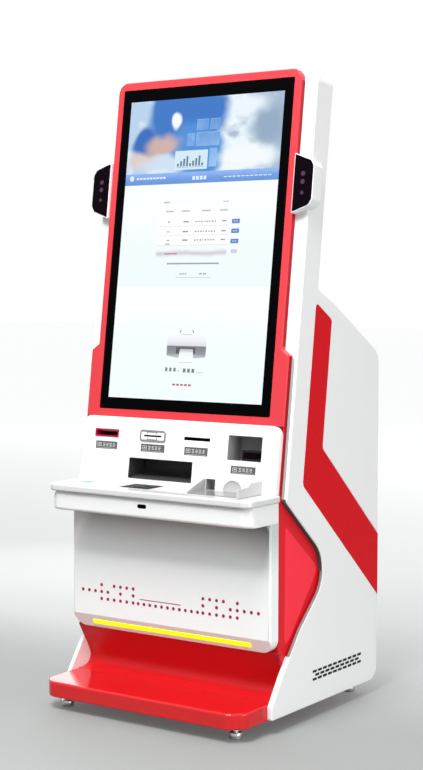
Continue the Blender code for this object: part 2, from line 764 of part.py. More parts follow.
def make_tray():
    """Pick-up bay on the desk: a thin floor between a low left cheek and a taller right one."""
    bottom = DESK_Z[1] + GAP
    floor = box_outline((TRAY_X[0] + 0.003, TRAY_X[1] - 0.003), TRAY_Y, 0.0)
    tray = prism("pickup_tray", floor, "z", (bottom, bottom + 0.0012), GREY)
    left = [(-0.2900, 0.0), *CHEEK_BACK, (-0.2160, 0.0325), (-0.2900, 0.0060)]
    right = [(-0.3263, 0.0), *TALL_BACK, (-0.2600, 0.0400), (-0.2720, 0.0290), (-0.3263, 0.0270)]
    join(tray, [(y, bottom + z) for y, z in left], "x", (TRAY_X[0], TRAY_X[0] + CHEEK_THICK))
    join(tray, [(y, bottom + z) for y, z in right], "x", (TRAY_X[1] - CHEEK_THICK, TRAY_X[1]))


make_desk()
make_pin_pad()
make_tray()


# ---- knee panel and its light strip -------------------------------------------------------
def scoop_profile(extra):
    """Side view (y, z) of the knee space's curved back, deepest under the desk."""
    top = KNEE_Z[1]
    points = []
    for k in range(11):
        share = k / 10
        z = SCOOP_START + (top - SCOOP_START) * share
        points.append((KNEE_Y[0] + extra + SCOOP_DEPTH * share**2.2, z))
    return points


def make_knee_panel():
    wide = BODY_HW
    shape = [
        (-wide, KNEE_Z[0], 0.040),
        (wide, KNEE_Z[0], 0.040),
        (wide, KNEE_Z[1]),
        (-wide, KNEE_Z[1]),
    ]
    panel = prism("knee_panel", shape, "y", KNEE_Y, WHITE, None, 8)
    skin = PANEL_SKIN
    pocket = [
        (-wide + skin, KNEE_Z[0] + skin + 0.006, 0.037),
        (wide - skin, KNEE_Z[0] + skin + 0.006, 0.037),
        (wide - skin, KNEE_Z[1] - skin),
        (-wide + skin, KNEE_Z[1] - skin),
    ]
    cut(panel, pocket, "y", (KNEE_Y[0] + 0.0130, KNEE_Y[1] + 0.01), None, 8)
    curve = scoop_profile(0.0)
    bulge = [(KNEE_Y[0] + 0.001, SCOOP_START - 0.02)] + [(y + 0.004, z) for y, z in curve]
    bulge += [(KNEE_Y[0] + 0.001, KNEE_Z[1])]
    join(panel, bulge, "x", (-SCOOP_HW - 0.003, SCOOP_HW + 0.003))
    top = KNEE_Z[1] + 0.01
    hollow = curve + [(curve[-1][0] + 0.004, top), (KNEE_Y[0] - 0.02, top), (KNEE_Y[0] - 0.02, SCOOP_START)]
    cut(panel, hollow, "x", (-SCOOP_HW, SCOOP_HW))
    bevel = [(KNEE_Y[0] - 0.001, 0.2740), (KNEE_Y[0] - 0.02, 0.2740), (KNEE_Y[0] - 0.02, 0.2200),
             (-0.2060, 0.2200), (-0.2060, 0.2280)]
    cut(panel, bevel, "x", (-0.5, 0.5))


BEVEL_LEAN = math.radians(25.0)
STRIP_HW = 0.2975


def make_light_strip():
    strip = prism("light_strip", box_outline((-STRIP_HW, STRIP_HW), (-0.0075, 0.0075), 0.003), "y",
                  (-0.0009, 0.0009), YELLOW)
    strip.location = (0.0, -0.2189, 0.2500)
    strip.rotation_euler = (BEVEL_LEAN, 0.0, 0.0)


make_knee_panel()
make_light_strip()


# ---- cabinet rear: top cover, door, lock, power panel, switch ------------------------------
def make_top_cover():
    start = head_s(1.3005, HEAD_D - 0.004)
    rim = HALF_DEPTH - 0.0010
    corner = [(rim, 1.0930, 0.063)]
    path = rounded([head_yz(HEAD_D + 0.001, start), (0.1000, 1.2550), *corner, (rim, 1.0500)], 6)
    cover = prism("cabinet_top_cover", band(path, SHEET), "x", (-BODY_HW, BODY_HW), WHITE)
    return cover


def make_door():
    left = HINGE[0] - 0.004
    outline = [
        (left, DOOR_Y[0]),
        (DOOR_HW, DOOR_Y[0]),
        (DOOR_HW, DOOR_Y[1], 0.002),
        (left, DOOR_Y[1], 0.0039),
    ]
    door = prism("rear_door", outline, "z", DOOR_Z, WHITE, None, 6)
    pocket = box_outline((HINGE[0] + 0.006, DOOR_HW - PANEL_SKIN), (DOOR_Z[0] + PANEL_SKIN, DOOR_Z[1] - PANEL_SKIN))
    cut(door, pocket, "y", (DOOR_Y[0] - 0.01, DOOR_Y[1] - PANEL_SKIN))
    for low in (0.250, 0.880):
        for bank in (-1.0, 1.0):
            for k in range(5):
                level = low + 0.020 * k
                slot = box_outline((bank * 0.13 - 0.08, bank * 0.13 + 0.08), (level, level + 0.006))
                cut(door, slot, "y", (DOOR_Y[0] - 0.01, DOOR_Y[1] + 0.01))
    cut(door, circle(LOCK, 0.0095), "y", (DOOR_Y[0] - 0.01, DOOR_Y[1] + 0.01))
    for span in ((DOOR_Z[1] - 0.004, LUG_TOP[1] - 0.0005), (LUG_FOOT[0] + 0.0005, DOOR_Z[0] + 0.004)):
        pin = prism("guide_pin", circle(HINGE, 0.0029, 16), "z", span)
        combine(door, pin, "UNION")


def make_lock():
    """Lock barrel with its cam, which hangs down when the door is free to open."""
    lock = prism("door_lock", circle(LOCK, 0.0090), "y", (0.3660, HALF_DEPTH - 0.0002), CHROME)
    cam = [(LOCK[0] - 0.008, LOCK[1] - 0.030, 0.004), (LOCK[0] + 0.008, LOCK[1] - 0.030, 0.004),
           (LOCK[0] + 0.008, LOCK[1]), (LOCK[0] - 0.008, LOCK[1])]
    join(lock, cam, "y", (0.3650, 0.3680))
    cut(lock, box_outline((LOCK[0] - 0.0008, LOCK[0] + 0.0008), (LOCK[1] - 0.005, LOCK[1] + 0.005)), "y",
        (0.3850, 0.3950))


SWITCH = (0.280, 0.122)
SWITCH_Y = 0.3830


def make_power_panel():
    wide = BODY_HW - GAP
    panel = prism("power_panel", box_outline((-wide, wide), (BASE_Z[1] + 0.0006, 0.1525)), "y",
                  (0.3800, 0.3830), WHITE)
    inner = BODY_HW - SHEET - GAP
    join(panel, box_outline((-inner, inner), (BASE_Z[1] + 0.0006, BASE_Z[1] + 0.0036)), "y", (0.3600, 0.3815))
    join(panel, box_outline((0.1870, 0.2330), (0.1050, 0.1390)), "y", (0.3450, 0.3820))
    socket = [(0.1900, 0.1080), (0.2300, 0.1080), (0.2300, 0.1300), (0.2240, 0.1360), (0.1960, 0.1360),
              (0.1900, 0.1300)]
    cut(panel, socket, "y", (0.3500, 0.3900))
    cut(panel, box_outline((SWITCH[0] - 0.0113, SWITCH[0] + 0.0113), (SWITCH[1] - 0.0160, SWITCH[1] + 0.0160)),
        "y", (0.3700, 0.3900))


def make_switch():
    """Mains rocker: it tips about a line along x through its middle."""
    y = SWITCH_Y - 0.0060
    z = SWITCH[1]
    outline = [(y, z - 0.0125), (y + 0.0090, z - 0.0132), (y + 0.0068, z), (y + 0.0068, z + 0.0125),
               (y, z + 0.0125)]
    prism("power_switch", outline, "x", (SWITCH[0] - 0.0105, SWITCH[0] + 0.0105), BLACK)


make_top_cover()
make_door()
make_lock()
make_power_panel()
make_switch()


# ---- equipment inside ---------------------------------------------------------------------
SHELF_Z = 0.470


def make_interior():
    inner = BODY_HW - SHEET - GAP
    shelf = prism("equipment_shelf", box_outline((-inner, inner), (-0.1000, 0.3400)), "z",
                  (SHELF_Z, SHELF_Z + SHEET), STEEL)
    for edge in ((-0.1000, -0.0970), (0.3370, 0.3400)):
        join(shelf, box_outline((-inner, inner), edge), "z", (SHELF_Z - 0.022, SHELF_Z + 0.001))
    floor = SHELF_Z + SHEET + GAP
    printer = prism("a4_printer", box_outline((-0.2320, 0.1280), (-0.0500, 0.3000), 0.012), "z",
                    (floor, floor + 0.290), GREY, None, 3)
    cut(printer, box_outline((-0.2280, 0.1240), (-0.0460, 0.2960)), "z", (floor - 0.01, floor + 0.286))
    cut(printer, box_outline((-0.1750, 0.0715), (0.7280, 0.7560)), "y", (-0.06, 0.01))
    computer = prism("computer", box_outline((-0.3300, -0.0400), (-0.0600, 0.2400)), "z",
                     (BASE_Z[1] + 0.0003, 0.2080), BLACK)
    cut(computer, box_outline((-0.3275, -0.0425), (-0.0575, 0.2375)), "z", (0.0800, 0.2055))
    for k in range(6):
        y = -0.020 + 0.040 * k
        cut(computer, box_outline((-0.3100, -0.0600), (y, y + 0.014)), "z", (0.2000, 0.2200))
    power = prism("power_unit", box_outline((0.0500, 0.2400), (-0.0400, 0.1600)), "z",
                  (BASE_Z[1] + 0.0003, 0.1700), STEEL)
    cut(power, box_outline((0.0520, 0.2380), (-0.0380, 0.1580)), "z", (0.0800, 0.1680))
    for k in range(5):
        y = 0.000 + 0.028 * k
        cut(power, box_outline((0.0700, 0.2200), (y, y + 0.010)), "z", (0.1600, 0.1800))


make_interior()
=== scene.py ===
import math

import bmesh
import bpy
from mathutils import Matrix, Vector


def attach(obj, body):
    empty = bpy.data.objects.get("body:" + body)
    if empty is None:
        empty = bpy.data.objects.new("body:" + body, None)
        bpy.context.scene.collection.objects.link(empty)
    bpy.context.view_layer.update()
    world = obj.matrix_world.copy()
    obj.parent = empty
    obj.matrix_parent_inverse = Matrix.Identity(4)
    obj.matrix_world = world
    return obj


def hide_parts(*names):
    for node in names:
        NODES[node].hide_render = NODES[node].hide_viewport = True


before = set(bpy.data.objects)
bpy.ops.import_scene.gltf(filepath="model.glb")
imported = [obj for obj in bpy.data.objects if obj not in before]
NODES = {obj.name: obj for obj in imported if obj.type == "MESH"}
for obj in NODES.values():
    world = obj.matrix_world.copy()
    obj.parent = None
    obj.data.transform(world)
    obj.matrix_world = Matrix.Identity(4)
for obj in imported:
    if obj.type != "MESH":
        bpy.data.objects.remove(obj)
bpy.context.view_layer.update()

SCENE = bpy.context.scene
FIXED = "terminal"
GAP = 0.0003
SIDES = (("left", -1.0), ("right", 1.0))

# ---- camera -------------------------------------------------------------------------------
CAMERA_AT = Vector((2.8162, -4.065, 1.3077))
CAMERA_RIGHT = Vector((0.8224, 0.5689, 0.0))
CAMERA_UP = Vector((-0.0356, 0.0515, 0.998))
CAMERA_BACK = Vector((0.5678, -0.8208, 0.0626)).normalized()
CAMERA_ROLL = math.radians(0.101)


def make_camera():
    data = bpy.data.cameras.new("camera")
    data.sensor_fit = "AUTO"
    data.sensor_width = 36.0
    data.lens = 73.87
    data.clip_end = 100.0
    camera = bpy.data.objects.new("camera", data)
    right = CAMERA_RIGHT * math.cos(CAMERA_ROLL) + CAMERA_UP * math.sin(CAMERA_ROLL)
    up = CAMERA_BACK.cross(right)
    pose = Matrix((right, up, CAMERA_BACK)).transposed().to_4x4()
    pose.translation = CAMERA_AT
    camera.matrix_world = pose
    SCENE.collection.objects.link(camera)
    SCENE.camera = camera


make_camera()

# ---- frames in which pieces are drawn -----------------------------------------------------
TILT = math.radians(7.53)
PIVOT = (0.0, -0.1505, 0.9572)
HEAD = Matrix.Translation(PIVOT) @ Matrix.Rotation(-TILT, 4, "X")
ALONG_Y = Matrix(((1, 0, 0, 0), (0, 0, 1, 0), (0, 1, 0, 0), (0, 0, 0, 1)))
PLACE = {
    "x": Matrix(((0, 0, 1, 0), (1, 0, 0, 0), (0, 1, 0, 0), (0, 0, 0, 1))),
    "y": ALONG_Y,
    "z": Matrix.Identity(4),
    "head": HEAD @ ALONG_Y,
    "head_x": HEAD @ Matrix(((0, 0, 1, 0), (1, 0, 0, 0), (0, 1, 0, 0), (0, 0, 0, 1))),
}


def head_yz(d, s):
    point = HEAD @ Vector((0.0, d, s))
    return (point.y, point.z)


def head_s(z, d):
    return (z - PIVOT[2] + d * math.sin(TILT)) / math.cos(TILT)


def add(tree, kind, inputs=None, **settings):
    """A shader node: inputs holds values or the sockets to link from, settings its properties."""
    node = tree.nodes.new("ShaderNode" + kind)
    for key, value in settings.items():
        setattr(node, key, value)
    for key, value in (inputs or {}).items():
        if isinstance(value, bpy.types.NodeSocket):
            tree.links.new(value, node.inputs[key])
        else:
            node.inputs[key].default_value = value
    return node


def shader_of(material):
    return material.node_tree.nodes["Principled BSDF"]


def new_material(name, color, roughness, metallic=0.0, emission=None, power=0.0):
    made = bpy.data.materials.new(name)
    made.use_nodes = True
    values = {"Base Color": (*color, 1.0), "Roughness": roughness, "Metallic": metallic}
    if emission is not None:
        values.update({"Emission Color": (*emission, 1.0), "Emission Strength": power})
    for socket, value in values.items():
        shader_of(made).inputs[socket].default_value = value
    return made


def position(tree, axis=None):
    """Where a point is in its piece's own metres, or one coordinate of it."""
    place = add(tree, "TexCoord").outputs["Object"]
    return place if axis is None else add(tree, "SeparateXYZ", {"Vector": place}).outputs[axis]


def add_noise(tree, scale, detail=3.0, stretch=None):
    """Noise in the piece's own metres; stretch squeezes it along an axis, for brushing."""
    source = position(tree)
    if stretch is not None:
        source = add(tree, "Mapping", {"Scale": stretch, "Vector": source}).outputs["Vector"]
    return add(tree, "TexNoise", {"Scale": scale, "Detail": detail, "Vector": source}).outputs["Fac"]


def map_range(tree, source, low, high, start=0.3, end=0.7, kind="SMOOTHSTEP"):
    values = {"Value": source, "From Min": start, "From Max": end, "To Min": low, "To Max": high}
    return add(tree, "MapRange", values, interpolation_type=kind).outputs["Result"]


def color_ramp(tree, share, stops):
    """Colour from a 0 to 1 share; a stop's colour may be a plain number, for a grey."""
    ramp = add(tree, "ValToRGB", {"Fac": share})
    elements = ramp.color_ramp.elements
    while len(elements) < len(stops):
        elements.new(0.5)
    for element, (at, color) in zip(elements, stops):
        element.position = at
        element.color = (*color, 1.0) if isinstance(color, tuple) else (color, color, color, 1.0)
    return ramp.outputs["Color"]


def surface(name, slot, color, rough, grain=300.0, bump=0.02, shine=0.5, tint=0.02, stretch=None, **extra):
    """Painted, moulded or brushed finish: uneven gloss, slight tint changes and a fine grain."""
    made = new_material(name, color, sum(rough) / 2, **extra)
    tree = made.node_tree
    shader = shader_of(made)
    shader.inputs["Specular IOR Level"].default_value = shine
    gloss = map_range(tree, add_noise(tree, 5.0, 1.0), *rough)
    share = map_range(tree, add_noise(tree, 2.0, 1.0), 0.0, 1.0)
    dark = (*[c * (1.0 - tint) for c in color], 1.0)
    blend = add(tree, "Mix", {"A": dark, "B": (*color, 1.0), "Factor": share}, data_type="RGBA")
    fine = add_noise(tree, grain, 2.0, stretch)
    relief = add(tree, "Bump", {"Strength": bump, "Distance": 0.0005, "Height": fine})
    tree.links.new(gloss, shader.inputs["Roughness"])
    tree.links.new(blend.outputs["Result"], shader.inputs["Base Color"])
    tree.links.new(relief.outputs["Normal"], shader.inputs["Normal"])
    return made


WHITE = surface(
    "white_gloss_panel", "white_panels", (0.87, 0.87, 0.87), (0.28, 0.31), 150.0, 0.006, 0.35, 0.01,
)
POWDER = surface("white_powder_coat", "white_panels", (0.84, 0.84, 0.84), (0.4, 0.46), 700.0, 0.06)
RED = surface("red_paint", "red_trim", (0.66, 0.043, 0.056), (0.3, 0.34), 150.0, 0.006, 0.3)
RED_METAL = surface("red_metal", "red_metal", (0.64, 0.011, 0.015), (0.3, 0.36), 160.0, 0.008, 0.25)
BASE_RED = surface("red_base", "red_metal", (0.64, 0.011, 0.015), (0.12, 0.15), 160.0, 0.003, 0.5, 0.01)
RED_WALL = surface("red_wall", "red_metal", (0.72, 0.012, 0.022), (0.3, 0.36), 160.0, 0.008, 0.2)
RED_GLOSS = surface("red_gloss_trim", "red_trim", (0.66, 0.008, 0.015), (0.26, 0.3), 150.0, 0.006, 0.08)
CRIMSON = surface("crimson_moulding", "red_trim", (0.42, 0.004, 0.042), (0.34, 0.4), 300.0, 0.02, 0.3)
RED_BRIGHT = surface("red_accent", "red_trim", (1.0, 0.036, 0.062), (0.3, 0.34), 300.0, 0.008, 0.15)
BLACK = surface("black_moulding", "black_plastic", (0.01, 0.01, 0.011), (0.42, 0.5), 1400.0, 0.08, 0.25)
GLASS = surface("black_glass", "front_glass", (0.001, 0.001, 0.0015), (0.06, 0.08), 60.0, 0.002, 0.03)
SMOKE = surface("smoked_window", "black_plastic", (0.003, 0.001, 0.003), (0.07, 0.09), 60.0, 0.002, 0.05)
GREY = surface("grey_moulding", "grey_plastic", (0.42, 0.43, 0.44), (0.38, 0.46), 1300.0, 0.08)
SILVER = surface("silver_bezel", "grey_plastic", (0.34, 0.34, 0.35), (0.28, 0.34), 300.0, 0.01, metallic=0.4)
STEEL = surface(
    "brushed_steel", "steel", (0.56, 0.57, 0.59), (0.28, 0.38), 400.0, 0.12, metallic=1.0,
    stretch=(1.0, 0.04, 1.0),
)
KEY_METAL = surface(
    "brushed_key", "key_metal", (0.06, 0.062, 0.065), (0.34, 0.42), 900.0, 0.1, 0.3, metallic=0.6,
    stretch=(0.05, 1.0, 1.0),
)
CHROME = surface("satin_chrome", "chrome", (0.8, 0.82, 0.83), (0.24, 0.3), 200.0, 0.01, metallic=0.85)
LABEL = surface("label_plate", "grey_plastic", (0.1, 0.1, 0.102), (0.44, 0.5), 1500.0, 0.03, 0.3)
INK = surface("label_ink", "white_panels", (0.62, 0.62, 0.62), (0.5, 0.56), 1500.0)
DOT_RED = surface("printed_red", "red_trim", (0.38, 0.006, 0.045), (0.4, 0.46), 1200.0, 0.02, 0.3)
PAPER = surface("thermal_paper", "paper", (0.88, 0.88, 0.86), (0.75, 0.85), 2500.0, 0.1)
RUBBER = surface("dark_rubber", "black_plastic", (0.025, 0.025, 0.026), (0.6, 0.75), 1100.0, 0.15)
RECESS_GREY = surface("recess_grey", "grey_plastic", (0.36, 0.36, 0.365), (0.36, 0.44), 1200.0, 0.05, 0.3)
CHUTE_GREY = surface("chute_grey", "black_plastic", (0.055, 0.055, 0.057), (0.36, 0.46), 1200.0, 0.05, 0.3)
# Painted shade: a darker copy of the white gloss for the desk top, which faces the key light.
DESK_SHADED_WHITE = surface("desk_gloss_painted_shade", "white_panels", (0.7, 0.7, 0.705), (0.1, 0.13), 150.0, 0.003, 0.5, 0.01)
TRAY_GREY = surface("tray_grey", "grey_plastic", (0.26, 0.26, 0.265), (0.12, 0.16), 150.0, 0.004, 0.5, 0.01)
YELLOW = surface(
    "yellow_lamp", "light_strip", (0.8, 0.8, 0.01), (0.4, 0.46), 500.0, 0.02, 0.2, emission=(1.0, 1.0, 0.0),
    power=0.7,
)
GREEN = surface(
    "green_lamp", "white_panels", (0.08, 0.5, 0.2), (0.3, 0.36), 500.0, 0.02, 0.2, emission=(0.05, 0.6, 0.2),
    power=0.25,
)
# Painted reflection: the lenses' purple coating glint, given as a faint glow.
LENS_GLINT = surface(
    "lens_painted_glint", "black_plastic", (0.05, 0.01, 0.04), (0.06, 0.09), 60.0, 0.002, 0.2,
    emission=(0.34, 0.16, 0.32), power=0.16,
)
# Painted shade: the next three are dark and grey copies laid over the side panels' front edges, which lie in
# shade, and over the dark joint to the inner wall.
EDGE_SHADE_DARK = surface("edge_painted_shade", "black_plastic", (0.09, 0.085, 0.08), (0.5, 0.6), 1200.0, 0.06, 0.2)
EDGE_SHADE_GREY = surface("edge_painted_grey_shade", "black_plastic", (0.3, 0.3, 0.295), (0.5, 0.6), 1200.0, 0.06, 0.2)
SIDE_SHADE_GREY = surface("side_painted_shade", "black_plastic", (0.42, 0.42, 0.415), (0.4, 0.5), 1200.0, 0.05, 0.2)
# Painted shade: a darker copy of the red for returns and strips that lie in shade.
RED_PAINTED_SHADE = surface("red_painted_shade", "red_trim", (0.36, 0.006, 0.012), (0.3, 0.36), 150.0, 0.006, 0.1)
# Painted light: the knee panel's white is tinted slightly cyan to cancel the red light bounced from the base,
# and the call below darkens it as painted shade towards the desk.
KNEE_SHADED_WHITE = surface(
    "knee_panel_gloss_painted_shade", "white_panels", (0.91, 0.94, 0.94), (0.28, 0.31), 150.0, 0.006, 0.35, 0.01,
)
# Painted shade: a grey copy of the white gloss for the tray's cheeks and the hollow, standing in for their
# shade.
CHEEK_SHADE_GREY = surface("cheek_painted_shade", "white_panels", (0.56, 0.56, 0.565), (0.2, 0.24), 150.0, 0.003, 0.3, 0.01)


def paint_shade_upwards(material, low, high, share):
    """Painted shade: darkens the base colour towards the top, where the desk keeps the light off."""
    tree = material.node_tree
    base = shader_of(material).inputs["Base Color"]
    level = map_range(tree, position(tree, "Z"), 1.0, share, low, high)
    dim = add(tree, "VectorMath", {0: base.links[0].from_socket, "Scale": level}, operation="SCALE")
    tree.links.new(dim.outputs["Vector"], base)


# Painted shade on the knee panel, darkest under the desk.
paint_shade_upwards(KNEE_SHADED_WHITE, 0.44, 0.6, 0.66)

# ---- mesh tools ---------------------------------------------------------------------------
def rounded(corners, steps=8):
    """Outline from (u, v) or (u, v, radius) corners: each radius becomes an arc."""
    out = []
    count = len(corners)
    for i, corner in enumerate(corners):
        here = Vector(corner[:2])
        radius = corner[2] if len(corner) > 2 else 0.0
        if radius <= 0.0:
            out.append(here)
            continue
        back = (Vector(corners[i - 1][:2]) - here).normalized()
        ahead = (Vector(corners[(i + 1) % count][:2]) - here).normalized()
        half = back.angle(ahead) / 2
        reach = radius / math.tan(half)
        centre = here + (back + ahead).normalized() * (radius / math.sin(half))
        start = here + back * reach - centre
        end = here + ahead * reach - centre
        sweep = math.copysign(math.pi - 2 * half, start.cross(end))
        for k in range(steps + 1):
            out.append(centre + Matrix.Rotation(sweep * k / steps, 2) @ start)
    return out


def rect(u, v, radius=0.0):
    return [(u[0], v[0], radius), (u[1], v[0], radius), (u[1], v[1], radius), (u[0], v[1], radius)]


def span(sign, near, far):
    return tuple(sorted((sign * near, sign * far)))


def grown(u, v, amount, radius=0.0):
    return rect((u[0] - amount, u[1] + amount), (v[0] - amount, v[1] + amount), radius)


def circle(centre, radius, sides=32):
    turns = (2 * math.pi * k / sides for k in range(sides))
    return [(centre[0] + radius * math.cos(a), centre[1] + radius * math.sin(a)) for a in turns]


def signed_area(points):
    return sum(p.cross(points[(i + 1) % len(points)]) for i, p in enumerate(points)) / 2


def inset(points, amounts):
    """Moves each edge of an anticlockwise outline inwards by its own amount."""
    out = []
    count = len(points)
    for i, here in enumerate(points):
        before = (here - points[i - 1]).normalized()
        after = (points[(i + 1) % count] - here).normalized()
        n1 = Vector((-before.y, before.x))
        n2 = Vector((-after.y, after.x))
        a1 = amounts[i - 1]
        a2 = amounts[i]
        turn = n1.cross(n2)
        if abs(turn) < 0.17:
            out.append(here + (n1 + n2).normalized() * (a1 + a2) / 2)
            continue
        out.append(here + Vector(((a1 * n2.y - a2 * n1.y), (a2 * n1.x - a1 * n2.x))) / turn)
    return out


def slab_mesh(corners, place, low, high, soft=(0.0, 0.0), arc=8, steps=4, square=None):
    """A closed plate across place's third axis, with its two rims rounded by soft.
    square(u, v) is true, or 1, at the middle of an edge that stays sharp."""
    outline = rounded(corners, arc)
    if signed_area(outline) < 0:
        outline.reverse()
    count = len(outline)
    free = []
    for i in range(count):
        middle = (outline[i] + outline[(i + 1) % count]) / 2
        free.append(1.0 - float(square(middle.x, middle.y)) if square is not None else 1.0)
    levels = []
    for k in range(steps + 1):
        turn = math.pi / 2 * k / steps
        if soft[0] > 0.0 or k == steps:
            levels.append((soft[0] * (1 - math.sin(turn)), low + soft[0] * (1 - math.cos(turn))))
    for k in range(steps, -1, -1):
        turn = math.pi / 2 * k / steps
        if soft[1] > 0.0 or k == steps:
            levels.append((soft[1] * (1 - math.sin(turn)), high - soft[1] * (1 - math.cos(turn))))
    bm = bmesh.new()
    rings = []
    for amount, level in levels:
        ring = inset(outline, [amount * f for f in free]) if amount > 0.0 else outline
        rings.append([bm.verts.new(PLACE[place] @ Vector((p.x, p.y, level))) for p in ring])
    bm.faces.new(rings[0])
    bm.faces.new(rings[-1])
    for lower, upper in zip(rings, rings[1:]):
        for i in range(count):
            j = (i + 1) % count
            bm.faces.new((lower[i], lower[j], upper[j], upper[i]))
    bmesh.ops.recalc_face_normals(bm, faces=bm.faces)
    return bm


def make_object(name, bm):
    mesh = bpy.data.meshes.new(name)
    bm.to_mesh(mesh)
    bm.free()
    made = bpy.data.objects.new(name, mesh)
    SCENE.collection.objects.link(made)
    return made


def slab(name, *args, **options):
    return make_object(name, slab_mesh(*args, **options))


def lathe_mesh(place, centre, profile, sides=40):
    """Closed round body: profile is (radius, level) pairs that start and end on the axis."""
    bm = bmesh.new()
    rings = []
    for radius, level in profile:
        if radius == 0.0:
            rings.append([bm.verts.new(PLACE[place] @ Vector((*centre, level)))])
            continue
        ring = [bm.verts.new(PLACE[place] @ Vector((u, v, level))) for u, v in circle(centre, radius, sides)]
        rings.append(ring)
    for lower, upper in zip(rings, rings[1:]):
        for i in range(sides):
            j = (i + 1) % sides
            face = [
                lower[i % len(lower)], lower[j % len(lower)], upper[j % len(upper)], upper[i % len(upper)],
            ]
            bm.faces.new(list(dict.fromkeys(face)))
    bmesh.ops.recalc_face_normals(bm, faces=bm.faces)
    return bm


def bake(obj):
    """Replaces the mesh with the result of its modifiers."""
    graph = bpy.context.evaluated_depsgraph_get()
    mesh = bpy.data.meshes.new_from_object(obj.evaluated_get(graph), depsgraph=graph)
    old = obj.data
    obj.modifiers.clear()
    obj.data = mesh
    mesh.name = obj.name
    bpy.data.meshes.remove(old)
    return obj


def merged(meshes):
    """One bmesh from several that don't touch each other."""
    whole = bmesh.new()
    for part in meshes:
        temp = bpy.data.meshes.new("part")
        part.to_mesh(temp)
        part.free()
        whole.from_mesh(temp)
        bpy.data.meshes.remove(temp)
    return whole


def carve(obj, *meshes, operation="DIFFERENCE"):
    tool = make_object("tool", merged(meshes))
    step = obj.modifiers.new("carve", "BOOLEAN")
    step.operation = operation
    step.solver = "EXACT"
    step.object = tool
    bake(obj)
    bpy.data.objects.remove(tool, do_unlink=True)
    return obj


def soften(obj, width, angle=38.0, segments=2):
    """Small rounding on the edges that are still sharp."""
    step = obj.modifiers.new("soften", "BEVEL")
    step.width = width
    step.segments = segments
    step.limit_method = "ANGLE"
    step.angle_limit = math.radians(angle)
    step.use_clamp_overlap = True
    step.miter_outer = "MITER_ARC"
    return bake(obj)


def piece(obj, material, body=FIXED, slot=None, replaces=None, angle=35.0, weighted=True):
    """Finishes a piece: smooth shading between sharp edges, its finish, and the body it rides on."""
    obj.data.materials.clear()
    obj.data.materials.append(material)
    for face in obj.data.polygons:
        face.material_index = 0
    obj.data.shade_smooth()
    obj.data.set_sharp_from_angle(angle=math.radians(angle))
    if weighted:
        step = obj.modifiers.new("normals", "WEIGHTED_NORMAL")
        step.keep_sharp = True
        step.weight = 80
        bake(obj)
    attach(obj, body)
    if replaces:
        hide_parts(replaces)


def group(name, meshes, material, weighted=False, **options):
    """One piece from several small shapes that don't touch each other."""
    piece(make_object(name, merged(meshes)), material, weighted=weighted, **options)


PIECE_OPTIONS = ("body", "slot", "replaces", "angle")


def solid(name, material, *outline, cuts=(), **options):
    """A plate with the cuts taken out of it, finished as a piece."""
    shape = {key: value for key, value in options.items() if key not in PIECE_OPTIONS}
    made = slab(name, *outline, **shape)
    for cut in cuts:
        carve(made, cut)
    piece(made, material, **{key: options[key] for key in PIECE_OPTIONS if key in options})


def ribbon(points, thickness):
    """Closed outline of a sheet that follows points, with its thickness on their right."""
    inner = []
    for i, point in enumerate(points):
        before = Vector(point) - Vector(points[max(i - 1, 0)])
        after = Vector(points[min(i + 1, len(points) - 1)]) - Vector(point)
        run = (before.normalized() + after.normalized()).normalized()
        inner.append(tuple(Vector(point) + Vector((run.y, -run.x)) * thickness))
    return list(points) + inner[::-1]


def smooth_curve(points, per_span=6):
    """Catmull-Rom curve through the points."""
    out = []
    last = len(points) - 1
    for i in range(last):
        p0, p1, p2, p3 = (Vector(points[min(max(k, 0), last)]) for k in (i - 1, i, i + 1, i + 2))
        for k in range(per_span):
            t = k / per_span
            value = 2 * p1 + (p2 - p0) * t + (2 * p0 - 5 * p1 + 4 * p2 - p3) * t**2
            out.append(tuple((value + (3 * p1 - p0 - 3 * p2 + p3) * t**3) / 2))
    out.append(tuple(points[-1]))
    return out


# ---- base, toe kick and feet --------------------------------------------------------------
BASE_Z = (0.04, 0.088)
BODY_HW = 0.371
OUTER_HW = 0.3875
BASE_FRONT = -0.3885
CHAMFER = 0.039
BASE_REAR = 0.366
FOOT_X = 0.315
FOOT_Y = (-0.3225, 0.3355)


